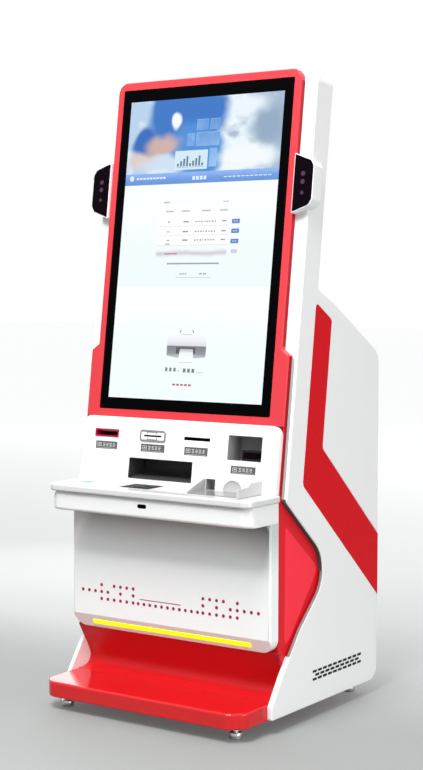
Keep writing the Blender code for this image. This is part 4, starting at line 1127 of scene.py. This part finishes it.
def make_screen():
    """A generic page: header, picture, table and a printer sign. It spells nothing."""
    stops = (
        (0.0, (243, 254, 255)), (0.12, (246, 255, 255)), (0.22, (252, 255, 255)), (0.312, (252, 255, 255)),
        (0.316, (241, 251, 253)), (0.5, (243, 252, 254)), (0.7, (251, 254, 255)),
    )
    picture("screen_page", 0, upward("screen_page", *ACTIVE_S, stops), [rect(WHOLE, ACTIVE_S)])
    make_banner()
    make_header()
    make_table()
    red = dashes(-0.111, 0.4535, 0.0044, [0.005] * 7, 0.0018) + dashes(
        -0.043, 0.048, 0.006, [0.0105] * 5, 0.0044,
    )
    picture("red_marks", 3, (206, 96, 116), red)
    captions = dashes(-0.0745, 0.094, 0.012, [0.0085] * 3, 0.0072) + dashes(-0.026, 0.0905, 0.004, [0.0035])
    captions += dashes(-0.007, 0.0925, 0.012, [0.01] * 3, 0.0062)
    captions += dashes(0.044, 0.0875, 0.0022, [0.003] * 5, 0.0026)
    picture("captions", 3, (128, 130, 138), captions)
    make_printer_icon()


make_screen()

# ---- control panel ------------------------------------------------------------------------
PANEL_HW = 0.3685
PANEL_D = (-0.019, 0.0047)
SKIN = 0.0025
RECEIPT_X = (-0.3125, -0.2195)
RECEIPT_S = (-0.126, -0.101)
CARD_X = (-0.1365, -0.0365)
CARD_S = (-0.133, -0.096)
CARD_SLOT = ((-0.12, -0.053), (-0.119, -0.11))
READER_LEFT = 0.229
PASS_X = (0.0315, 0.127)
PASS_S = (-0.12, -0.11)
OUTLET_X = (-0.1725, 0.069)
OUTLET_S = (-0.249, -0.185)
SCAN_X = (0.193, 0.3135)
SCAN_S = (-0.17, -0.096)
SCAN_DEPTH = 0.055
NOTCH_X = (0.122, 0.157)
NOTCH_TOP = -0.231
DESK_Z = (0.675, 0.697)


DISH_AT = (0.22, -0.264)
DISH_RADIUS = 0.034


def finger_dish(lift):
    """Profile of the shallow hollow beside the notch, where a page is picked up."""
    turns = [math.pi / 2 * k / 10 for k in range(1, 10)]
    bowl = [(DISH_RADIUS * math.cos(t), PANEL_D[0] + 0.0058 * math.sin(t) - lift) for t in turns]
    return [(0.0, -0.03), (DISH_RADIUS, -0.03), (DISH_RADIUS, PANEL_D[0])] + bowl + [
        (0.0, PANEL_D[0] + 0.0058 - lift),
    ]


def desk_cutter(lift):
    """Everything below the desk's top, where the panel goes on behind the desk."""
    return slab_mesh(rect((-0.5, 0.5), (-0.35, 0.05)), "z", 0.55, DESK_Z[1] + lift)


def make_dish():
    """Grey lining of the hollow, its grey a painted shade."""
    level = PANEL_D[0] + 0.0003
    rim = [(0.0, -0.05), (0.06, -0.05), (0.06, level), (DISH_RADIUS - 0.0006, level)]
    lining = make_object("pickup_dish", lathe_mesh("head", DISH_AT, finger_dish(0.0), 48))
    carve(lining, lathe_mesh("head", DISH_AT, rim + finger_dish(0.0004)[3:], 48))
    carve(lining, desk_cutter(2 * GAP))
    piece(lining, CHEEK_SHADE_GREY, angle=50.0)


def make_control_panel():
    low = -0.275
    corners = [(-PANEL_HW, low), (PANEL_HW, low), (PANEL_HW, PANEL_TOP, 0.03), (-PANEL_HW, PANEL_TOP, 0.03)]
    panel = slab(
        "control_fascia", corners, "head", *PANEL_D, soft=(0.01, 0.0), arc=12, steps=7,
        square=lambda u, v: v < low + 0.001,
    )
    side = PANEL_HW - SKIN
    pocket = [
        (-side, low - 0.01), (side, low - 0.01), (side, PANEL_TOP - SKIN, 0.028),
        (-side, PANEL_TOP - SKIN, 0.028),
    ]
    carve(panel, slab_mesh(pocket, "head", PANEL_D[0] + SKIN + 0.004, 0.05))
    liner = grown(SCAN_X, SCAN_S, SKIN)
    carve(panel, slab_mesh(liner, "head", PANEL_D[0] + 0.001, SCAN_DEPTH + SKIN), operation="UNION")
    carve(panel, slab_mesh(rect(SCAN_X, SCAN_S, 0.0015), "head", -0.05, SCAN_DEPTH, arc=3))
    holes = [
        slab_mesh(grown(RECEIPT_X, RECEIPT_S, -0.0025), "head", -0.03, 0.002),
        slab_mesh(grown(CARD_X, CARD_S, -0.006), "head", -0.03, 0.002),
        slab_mesh(rect(PASS_X, PASS_S, 0.0012), "head", -0.03, 0.002, arc=3),
        slab_mesh(rect(OUTLET_X, OUTLET_S, 0.0015), "head", -0.03, 0.002, arc=3),
        slab_mesh(rect(NOTCH_X, (low - 0.02, NOTCH_TOP), 0.0), "head", -0.03, 0.002),
    ]
    carve(panel, *holes)
    carve(panel, lathe_mesh("head", DISH_AT, finger_dish(0.0), 48))
    carve(panel, desk_cutter(GAP))
    soften(panel, 0.0009, 50.0)
    piece(panel, WHITE, replaces="control_panel", angle=33.0)


def framed(name, material, outer, inner, place, low, high, soft=(0.0, 0.0), arc=6, **options):
    """A raised frame between two outlines."""
    hole = slab_mesh(inner, place, low - 0.02, high + 0.02, arc=arc)
    solid(name, material, outer, place, low, high, soft=soft, arc=arc, steps=3, cuts=[hole], **options)


def make_receipt_mouth():
    front = PANEL_D[0] - GAP
    framed(
        "receipt_mouth", CRIMSON, rect(RECEIPT_X, RECEIPT_S, 0.002),
        grown(RECEIPT_X, RECEIPT_S, -0.005, 0.001), "head", front - 0.0015, front, (0.001, 0.0), 4,
        replaces="receipt_bezel",
    )
    framed(
        "receipt_sleeve", CRIMSON, grown(RECEIPT_X, RECEIPT_S, -0.0029),
        grown(RECEIPT_X, RECEIPT_S, -0.005, 0.001), "head", front + 0.0002, 0.006, (0.0, 0.0), 4,
    )
    slot = slab_mesh(grown(RECEIPT_X, RECEIPT_S, -0.009), "head", 0.0, 0.01)
    solid("receipt_back", BLACK, grown(RECEIPT_X, RECEIPT_S, -0.0052), "head", 0.003, 0.0058, cuts=[slot])
    teeth = []
    for k in range(30):
        at = -0.303 + 0.0025 * k
        outline = [(at, -0.1063), (at + 0.0023, -0.1063), (at + 0.00115, -0.1085)]
        teeth.append(slab_mesh(outline, "head", -0.004, -0.0034))
    group("tear_bar", teeth, STEEL)


def make_card_mouth():
    front = PANEL_D[0] - GAP
    inner = grown(CARD_X, CARD_S, -0.0058, 0.0055)
    framed(
        "card_mouth", SILVER, rect(CARD_X, CARD_S, 0.0105), inner, "head", front - 0.003, front,
        (0.0024, 0.0), 10, replaces="card_bezel",
    )
    left, right = CARD_SLOT[0]
    thin = rect((left + 0.0015, right - 0.0015), (-0.1165, -0.1125), 0.001)
    lip = rect((left + 0.0003, right - 0.0003), (-0.1172, -0.1118), 0.001)
    solid(
        "card_face", WHITE, grown(CARD_X, CARD_S, -0.006, 0.0053), "head", front - 0.0018, front,
        soft=(0.0005, 0.0), arc=8, steps=2, cuts=[slab_mesh(lip, "head", -0.04, 0.03, arc=3)],
        slot="grey_plastic",
    )
    framed("card_lip", BLACK, lip, thin, "head", front - 0.0019, front + 0.0002, (0.0003, 0.0), 3)
    cx = (CARD_X[0] + CARD_X[1]) / 2
    cs = (thin[0][1] + thin[2][1]) / 2
    left, right = cx - 0.0215, cx + 0.0165
    marks = []
    for edge in (-1.0, 1.0):
        far = cs + edge * 0.012
        bar = far - edge * 0.0016
        ends = tuple(sorted((cs + edge * 0.0045, bar)))
        marks.append(rect((left, right), tuple(sorted((far, bar)))))
        marks += [rect((left, left + 0.0022), ends), rect((right - 0.0022, right), ends)]
    meshes = [slab_mesh(m, "head", front - 0.00195, front - 0.0016) for m in marks]
    group("card_pictogram", meshes, BLACK)
    framed(
        "card_throat", BLACK, grown(*CARD_SLOT, 0.002), rect(*CARD_SLOT, 0.001), "head", PANEL_D[0] + 0.0002,
        PANEL_D[0] + 0.008, (0.0, 0.0), 3,
    )


def make_slot_bezels():
    make_receipt_mouth()
    make_card_mouth()
    framed(
        "pass_slot_liner", BLACK, grown(PASS_X, PASS_S, 0.003), grown(PASS_X, PASS_S, -0.0002, 0.001), "head",
        PANEL_D[0] + 0.0066, 0.004, (0.0, 0.0), 3,
    )
    framed(
        "pass_slot_sleeve", BLACK, grown(PASS_X, PASS_S, -0.0002, 0.001),
        grown(PASS_X, PASS_S, -0.001, 0.001), "head", PANEL_D[0] + 0.0008, PANEL_D[0] + 0.0068, (0.0, 0.0), 3,
    )


def make_recess_liner():
    """Grey lining of the scanning recess, and the lining of the notch beside the tray."""
    hollow = slab_mesh(grown(SCAN_X, SCAN_S, -0.0005, 0.0012), "head", -0.05, SCAN_DEPTH - 0.0005, arc=3)
    outline = grown(SCAN_X, SCAN_S, -0.0001, 0.0014)
    solid(
        "recess_liner", RECESS_GREY, outline, "head", PANEL_D[0] + 0.0006, SCAN_DEPTH - 0.0001, arc=3,
        cuts=[hollow],
    )
    low = head_s(DESK_Z[1] + 0.0015, 0.0)
    hollow = slab_mesh(rect(NOTCH_X, (low - 0.03, NOTCH_TOP)), "head", -0.05, 0.0135)
    outline = grown(NOTCH_X, (low, NOTCH_TOP), 0.002)
    cuts = [hollow, desk_cutter(2 * GAP)]
    solid("notch_liner", RECESS_GREY, outline, "head", PANEL_D[0] + 0.0068, 0.015, cuts=cuts)


def make_corner_backing():
    """The display surround goes on behind the panel's rounded upper corners, drawn in the painted-shade red.
    """
    for side, sign in SIDES:
        outline = rect(span(sign, 0.3, BODY_HW - 0.001), (-0.13, PANEL_TOP + 0.0001))
        solid(f"surround_backing_{side}", RED_PAINTED_SHADE, outline, "head", PANEL_D[1] + 0.0006, SHELL_D - GAP)


LABELS = (
    ((-0.307, -0.223), (-0.164, -0.14)),
    ((-0.1295, -0.04), (-0.164, -0.14)),
    ((0.0355, 0.121), (-0.165, -0.14)),
    ((0.2095, 0.2965), (-0.209, -0.186)),
)


def make_labels():
    """Grey plates with pale pictograms: an outlined symbol and four blocks, no lettering."""
    plates = []
    bars = []
    front = PANEL_D[0] - 0.0004
    tall = 0.0058
    for x, s in LABELS:
        plates.append(slab_mesh(rect(x, s, 0.0012), "head", front, PANEL_D[0] + 0.0002, arc=3))
        mid = (s[0] + s[1]) / 2 + 0.001
        left = x[0] + 0.006
        inner = (mid - tall + 0.0015, mid + tall - 0.0015)
        bars += [
            ((left, left + 0.016), (mid + tall - 0.0015, mid + tall)),
            ((left, left + 0.016), (mid - tall, mid - tall + 0.0015)),
            ((left, left + 0.0015), inner), ((left + 0.0145, left + 0.016), inner),
            ((left + 0.0045, left + 0.0115), (mid - 0.0015, mid + 0.0015)),
            ((left, x[1] - 0.004), (s[0] + 0.0022, s[0] + 0.0032)),
        ]
        for k in range(4):
            at = left + 0.0215 + 0.0128 * k
            for row in range(3):
                level = mid + (row - 1) * 0.0042
                trim = 0.0022 * ((k + row) % 2)
                bars.append(((at + trim, at + 0.0098 - trim * 0.5), (level - 0.001, level + 0.001)))
            bars.append(((at + 0.0042, at + 0.0056), (mid - tall, mid - 0.0054)))
    marks = [slab_mesh(rect(*bar), "head", front - 0.0001, front + 0.0001) for bar in bars]
    group("label_plates", plates, LABEL)
    group("label_marks", marks, INK)


CHUTE_D = (-0.016, 0.1)
CHUTE_RISE = 0.033


def chute_corners(grow, overrun):
    slope = CHUTE_RISE / (CHUTE_D[1] - CHUTE_D[0])
    near = CHUTE_D[0] - overrun
    far = CHUTE_D[1] + overrun
    floor = OUTLET_S[0] - grow
    roof = OUTLET_S[1] + grow
    return [
        (near, floor - overrun * slope), (far, floor + CHUTE_RISE + overrun * slope),
        (far, roof + CHUTE_RISE + overrun * slope), (near, roof - overrun * slope),
    ]


def make_chute():
    outer = (OUTLET_X[0] - SKIN, OUTLET_X[1] + SKIN)
    solid(
        "page_chute", CHUTE_GREY, chute_corners(SKIN, 0.0), "head_x", *outer,
        cuts=[slab_mesh(chute_corners(0.0, 0.02), "head_x", *OUTLET_X)], replaces="a4_chute",
    )
    flap_at = CHUTE_D[1] - 0.03
    climb = CHUTE_RISE * (flap_at - CHUTE_D[0]) / (CHUTE_D[1] - CHUTE_D[0])
    low = (flap_at - 0.022, OUTLET_S[0] + climb - 0.006)
    bend = (flap_at - 0.004, OUTLET_S[0] + climb + 0.012)
    high = (flap_at, OUTLET_S[1] + climb - 0.0005)
    curve = smooth_curve([low, bend, high], 8)
    solid(
        "chute_flap", CHUTE_GREY, ribbon(curve, 0.0015), "head_x", OUTLET_X[0] + 0.001, OUTLET_X[1] - 0.001,
        angle=60.0,
    )
    rollers = []
    for k in range(4):
        middle = -0.145 + 0.062 * k
        rollers.append(slab_mesh(circle((0.088, -0.156), 0.011, 20), "head_x", middle - 0.01, middle + 0.01,
                                 soft=(0.001, 0.001), steps=2))
    group("page_rollers", rollers, RUBBER, weighted=True)


def make_scanner():
    left = READER_LEFT
    right = SCAN_X[1] - GAP
    low = SCAN_S[0] + GAP
    top = SCAN_S[0] + 0.034
    hollow = rect((left + 0.006, right - 0.006), (low + 0.007, top - 0.007), 0.002)
    solid(
        "code_reader", BLACK, rect((left, right), (low, top), 0.002), "head", 0.004, SCAN_DEPTH - GAP,
        soft=(0.0015, 0.0), arc=3, steps=3, cuts=[slab_mesh(hollow, "head", -0.01, 0.0062, arc=3)],
        replaces="barcode_scanner",
    )
    window = rect((left + 0.0064, right - 0.0064), (low + 0.0074, top - 0.0074), 0.0018)
    solid("code_reader_window", SMOKE, window, "head", 0.0052, 0.006, arc=3)


make_control_panel()
make_dish()
make_slot_bezels()
make_recess_liner()
make_corner_backing()
make_labels()
make_chute()
make_scanner()

# ---- desk ---------------------------------------------------------------------------------
DESK_HW = 0.375
DESK_FRONT = -0.35
APRON_Z = 0.616
APRON_FRONT = -0.34
DESK_REAR = KNEE_Y[1] - 0.0005
KEY_PAD = (-0.082, -0.25)
KEY_PITCH = (0.0245, 0.0185)
KEY_SIZE = (0.019, 0.0135)
PAD_HALF = (0.055, 0.0415)


def desk_corners(half, front, rear, corner):
    return [(-half, front, corner), (half, front, corner), (half, rear), (-half, rear)]


def apron_edge(u, v):
    """0 along the apron's front, rising to 1 where its sides begin."""
    return min(1.0, max(0.0, (v - APRON_FRONT - 0.006) / 0.026))


def pad_corners(grow):
    u = (KEY_PAD[0] - PAD_HALF[0], KEY_PAD[0] + PAD_HALF[0])
    v = (KEY_PAD[1] - PAD_HALF[1], KEY_PAD[1] + PAD_HALF[1])
    return grown(u, v, grow, 0.003)


def make_desk():
    # The slab's darker white is painted shade.
    solid(
        "desk_slab", DESK_SHADED_WHITE, desk_corners(DESK_HW, DESK_FRONT, DESK_REAR, 0.032), "z", *DESK_Z,
        soft=(0.006, 0.006), arc=14, steps=5, square=lambda u, v: v > DESK_REAR - 0.001,
        cuts=[slab_mesh(pad_corners(GAP), "z", 0.66, 0.71, arc=4)], replaces="desk_top",
    )
    apron = slab(
        "desk_underside", desk_corners(BODY_HW, APRON_FRONT, DESK_REAR, 0.036), "z", APRON_Z, DESK_Z[0] - GAP,
        soft=(0.009, 0.015), arc=14, steps=6, square=apron_edge,
    )
    hollow = desk_corners(BODY_HW - 0.012, APRON_FRONT + 0.012, DESK_REAR - 0.012, 0.026)
    carve(apron, slab_mesh(hollow, "z", APRON_Z + 0.006, DESK_Z[0] + 0.01))
    sensor = rect((-0.03, 0.004), (0.645, 0.658), 0.0062)
    carve(apron, slab_mesh(sensor, "y", APRON_FRONT - 0.01, APRON_FRONT + 0.003, arc=8))
    piece(apron, WHITE, replaces="desk_apron", angle=33.0)
    solid(
        "presence_sensor", GLASS, rect((-0.0297, 0.0037), (0.6453, 0.6577), 0.006), "y", APRON_FRONT + 0.0004,
        APRON_FRONT + 0.0024, soft=(0.0006, 0.0), arc=8, steps=2, slot="black_plastic",
    )
    solid(
        "contactless_light", GREEN, rect((-0.313, -0.271), (-0.27, -0.23), 0.009), "z", DESK_Z[1] - 0.0008,
        DESK_Z[1] + 0.0002, arc=8,
    )


def key_places():
    for row in range(4):
        for column in range(4):
            x = KEY_PAD[0] + (column - 1.5) * KEY_PITCH[0]
            y = KEY_PAD[1] + (1.5 - row) * KEY_PITCH[1]
            yield row * 4 + column + 1, x, y


def make_digit(text, x, y, z, size=0.0085):
    curve = bpy.data.curves.new("digit", "FONT")
    curve.body = text
    curve.size = size
    curve.align_x = "CENTER"
    curve.align_y = "CENTER"
    curve.extrude = 0.00012
    temp = bpy.data.objects.new("digit", curve)
    SCENE.collection.objects.link(temp)
    graph = bpy.context.evaluated_depsgraph_get()
    mesh = bpy.data.meshes.new_from_object(temp.evaluated_get(graph), depsgraph=graph)
    bpy.data.objects.remove(temp, do_unlink=True)
    mesh.transform(Matrix.Translation((x, y, z)))
    made = bpy.data.objects.new("digit", mesh)
    SCENE.collection.objects.link(made)
    return made


KEY_MARKS = ("1", "2", "3", None, "4", "5", "6", None, "7", "8", "9", None, None, "0", None, None)
KEY_TINTS = {4: (0.07, 0.012, 0.01), 8: (0.07, 0.05, 0.01), 12: (0.03, 0.03, 0.03), 16: (0.01, 0.045, 0.02)}


def key_outline(x, y, grow, corner):
    wide = KEY_SIZE[0] / 2 + grow
    deep = KEY_SIZE[1] / 2 + grow
    return rect((x - wide, x + wide), (y - deep, y + deep), corner)


def make_pin_pad():
    holes = []
    for _, x, y in key_places():
        holes.append(slab_mesh(key_outline(x, y, 0.0004, 0.002), "z", DESK_Z[1] - 0.0088, 0.72, arc=3))
    pad = slab(
        "pin_pad_plate", pad_corners(0.0), "z", DESK_Z[0] + 0.009, DESK_Z[1] + 0.0008, soft=(0.0, 0.0008),
        arc=4, steps=2,
    )
    carve(pad, *holes)
    piece(pad, BLACK, replaces="pin_pad_frame")
    top = DESK_Z[1] + 0.0025
    finger = [
        (0.0, top - 0.0005), (0.003, top - 0.0004), (0.0055, top + 0.0001), (0.0055, top + 0.001),
        (0.0, top + 0.001),
    ]
    for number, x, y in key_places():
        body = f"key_{number:02d}_body"
        finish = KEY_METAL
        if number in KEY_TINTS:
            tint = KEY_TINTS[number]
            finish = surface(f"key_tint_{number:02d}", "key_metal", tint, (0.35, 0.45), 1200.0, 0.06)
        solid(
            f"key_cap_{number:02d}", finish, key_outline(x, y, 0.0, 0.0016), "z", DESK_Z[1] - 0.0075, top,
            soft=(0.0, 0.001), arc=4, steps=3, cuts=[lathe_mesh("z", (x, y), finger, 20)], body=body,
            replaces=f"key_{number:02d}",
        )
        mark = KEY_MARKS[number - 1]
        if mark is not None:
            digit = make_digit(mark, x, y, top - 0.00035)
            digit.name = f"key_digit_{number:02d}"
            piece(digit, INK, body=body, weighted=False)


TRAY_X = (0.115, 0.3225)
CHEEK_THICK = 0.0062


def make_pickup_bay():
    """Two cheeks on the desk, their grey a painted shade, and the shallow tray between them."""
    bottom = DESK_Z[1] + GAP

    def panel_face(rise):
        z = bottom + rise
        return head_yz(PANEL_D[0], head_s(z, PANEL_D[0]))[0] - 0.0004

    solid(
        "pickup_floor", TRAY_GREY,
        rect((TRAY_X[0] + CHEEK_THICK + GAP, TRAY_X[1] - CHEEK_THICK - GAP), (-0.3, -0.21), 0.003), "z",
        bottom, bottom + 0.0012, soft=(0.0, 0.0006), arc=4, steps=2, replaces="pickup_tray",
    )
    left = [
        (-0.29, bottom), (panel_face(0.0), bottom), (panel_face(0.034), bottom + 0.034),
        (-0.216, bottom + 0.0325, 0.006), (-0.29, bottom + 0.006, 0.003),
    ]
    right = [
        (-0.3263, bottom), (panel_face(0.0), bottom), (panel_face(0.04), bottom + 0.04),
        (-0.26, bottom + 0.04, 0.006), (-0.272, bottom + 0.029, 0.008), (-0.3263, bottom + 0.027, 0.004),
    ]
    for name, shape, low in (("left", left, TRAY_X[0]), ("right", right, TRAY_X[1] - CHEEK_THICK)):
        solid(
            f"pickup_cheek_{name}", CHEEK_SHADE_GREY, shape, "x", low, low + CHEEK_THICK, soft=(0.0012, 0.0012),
            arc=6, steps=3,
        )


make_desk()
make_pin_pad()
make_pickup_bay()

# ---- rear, inside -------------------------------------------------------------------------
FINISHES = {
    "cabinet_top_cover": POWDER, "rear_door": POWDER, "power_panel": POWDER, "head_rear_cover": POWDER,
    "lcd_module": STEEL, "receipt_printer": BLACK, "card_reader": BLACK, "a4_printer": GREY,
    "equipment_shelf": STEEL, "computer": BLACK, "power_unit": STEEL, "door_lock": CHROME,
    "receipt_roll": PAPER, "fan_rotor": BLACK, "power_switch": BLACK,
}
for node, finish in FINISHES.items():
    NODES[node].data.materials.clear()
    NODES[node].data.materials.append(finish)
    edges = NODES[node].modifiers.new("edges", "BEVEL")
    edges.width = 0.0007
    edges.segments = 2
    edges.limit_method = "ANGLE"
    edges.angle_limit = math.radians(50.0)

# ---- floor, light, world ------------------------------------------------------------------
FLOOR_DEPTH = (-6.0, 6.0)
# Painted light: camera-only floor glow along y; its dip around the machine is painted shade.
FLOOR_GLOW = (                      # y, brightness
    (-6.0, 0.7), (-3.8, 0.55), (-2.3, 0.42), (-1.4, 0.22), (-0.74, 0.12), (-0.38, 0.09), (-0.02, 0.095),
    (0.19, 0.13), (0.42, 0.22), (0.67, 0.34), (1.29, 0.46), (2.08, 0.52), (3.82, 0.62), (6.0, 0.75),
)
WORLD_LIGHT = ((0.0, 0.05), (0.47, 0.15), (0.56, 0.46), (0.8, 0.7), (1.0, 0.7))


def make_floor():
    """Pale floor with a camera-only painted glow that fades into the white backdrop before and behind the
    machine; its dip around the machine is painted shade.
    """
    bm = bmesh.new()
    bmesh.ops.create_grid(bm, x_segments=1, y_segments=1, size=40.0)
    floor = make_object("studio_floor", bm)
    made = new_material("studio_floor", (0.25, 0.265, 0.26), 0.75, emission=(1.0, 1.0, 1.0))
    tree = made.node_tree
    near, far = FLOOR_DEPTH
    share = map_range(tree, position(tree, "Y"), 0.0, 1.0, near, far, "LINEAR")
    level = color_ramp(tree, share, [((y - near) / (far - near), glow) for y, glow in FLOOR_GLOW])
    seen = add(tree, "LightPath").outputs["Is Camera Ray"]
    glow = add(tree, "Math", {0: level, 1: seen}, operation="MULTIPLY")
    tree.links.new(glow.outputs["Value"], shader_of(made).inputs["Emission Strength"])
    floor.data.materials.append(made)


def make_world():
    """White to the camera; the light itself is brightest overhead and dim below the horizon."""
    world = bpy.data.worlds.new("studio")
    world.use_nodes = True
    tree = world.node_tree
    tree.nodes.clear()
    way = add(tree, "TexCoord").outputs["Generated"]
    height = add(tree, "SeparateXYZ", {"Vector": way}).outputs["Z"]
    sky = color_ramp(tree, map_range(tree, height, 0.0, 1.0, -1.0, 1.0), WORLD_LIGHT)
    lit = add(tree, "Background", {"Color": sky}).outputs["Background"]
    seen = add(tree, "Background", {"Color": (1.0, 1.0, 1.0, 1.0)}).outputs["Background"]
    camera = add(tree, "LightPath").outputs["Is Camera Ray"]
    mix = add(tree, "MixShader", {"Fac": camera, 1: lit, 2: seen})
    add(tree, "OutputWorld", {"Surface": mix.outputs["Shader"]})
    SCENE.world = world


def make_area(name, at, target, size, power):
    data = bpy.data.lights.new(name, "AREA")
    data.shape = "RECTANGLE"
    data.size, data.size_y = size
    data.energy = power
    lamp = bpy.data.objects.new(name, data)
    lamp.location = at
    lamp.rotation_euler = (Vector(target) - Vector(at)).to_track_quat("-Z", "Y").to_euler()
    SCENE.collection.objects.link(lamp)
    return lamp


make_floor()
make_world()
make_area("key", (0.4, -2.5, 4.7), (0.0, -0.2, 0.8), (2.0, 2.0), 262.0)
make_area("side", (4.6, -0.9, 0.7), (0.0, 0.0, 0.6), (2.4, 1.6), 82.0)
make_area("back", (-1.5, 7.5, 5.0), (0.0, 0.2, 0.9), (2.5, 2.5), 80.0).visible_glossy = False
card = make_area("card", (-2.3, 1.9, 1.0), (-0.3, -0.3, 0.1), (2.2, 1.5), 26.0)
card.visible_camera = False         # a bright card that only shows in glossy surfaces
card.visible_diffuse = False
SCENE.view_settings.view_transform = "Standard"
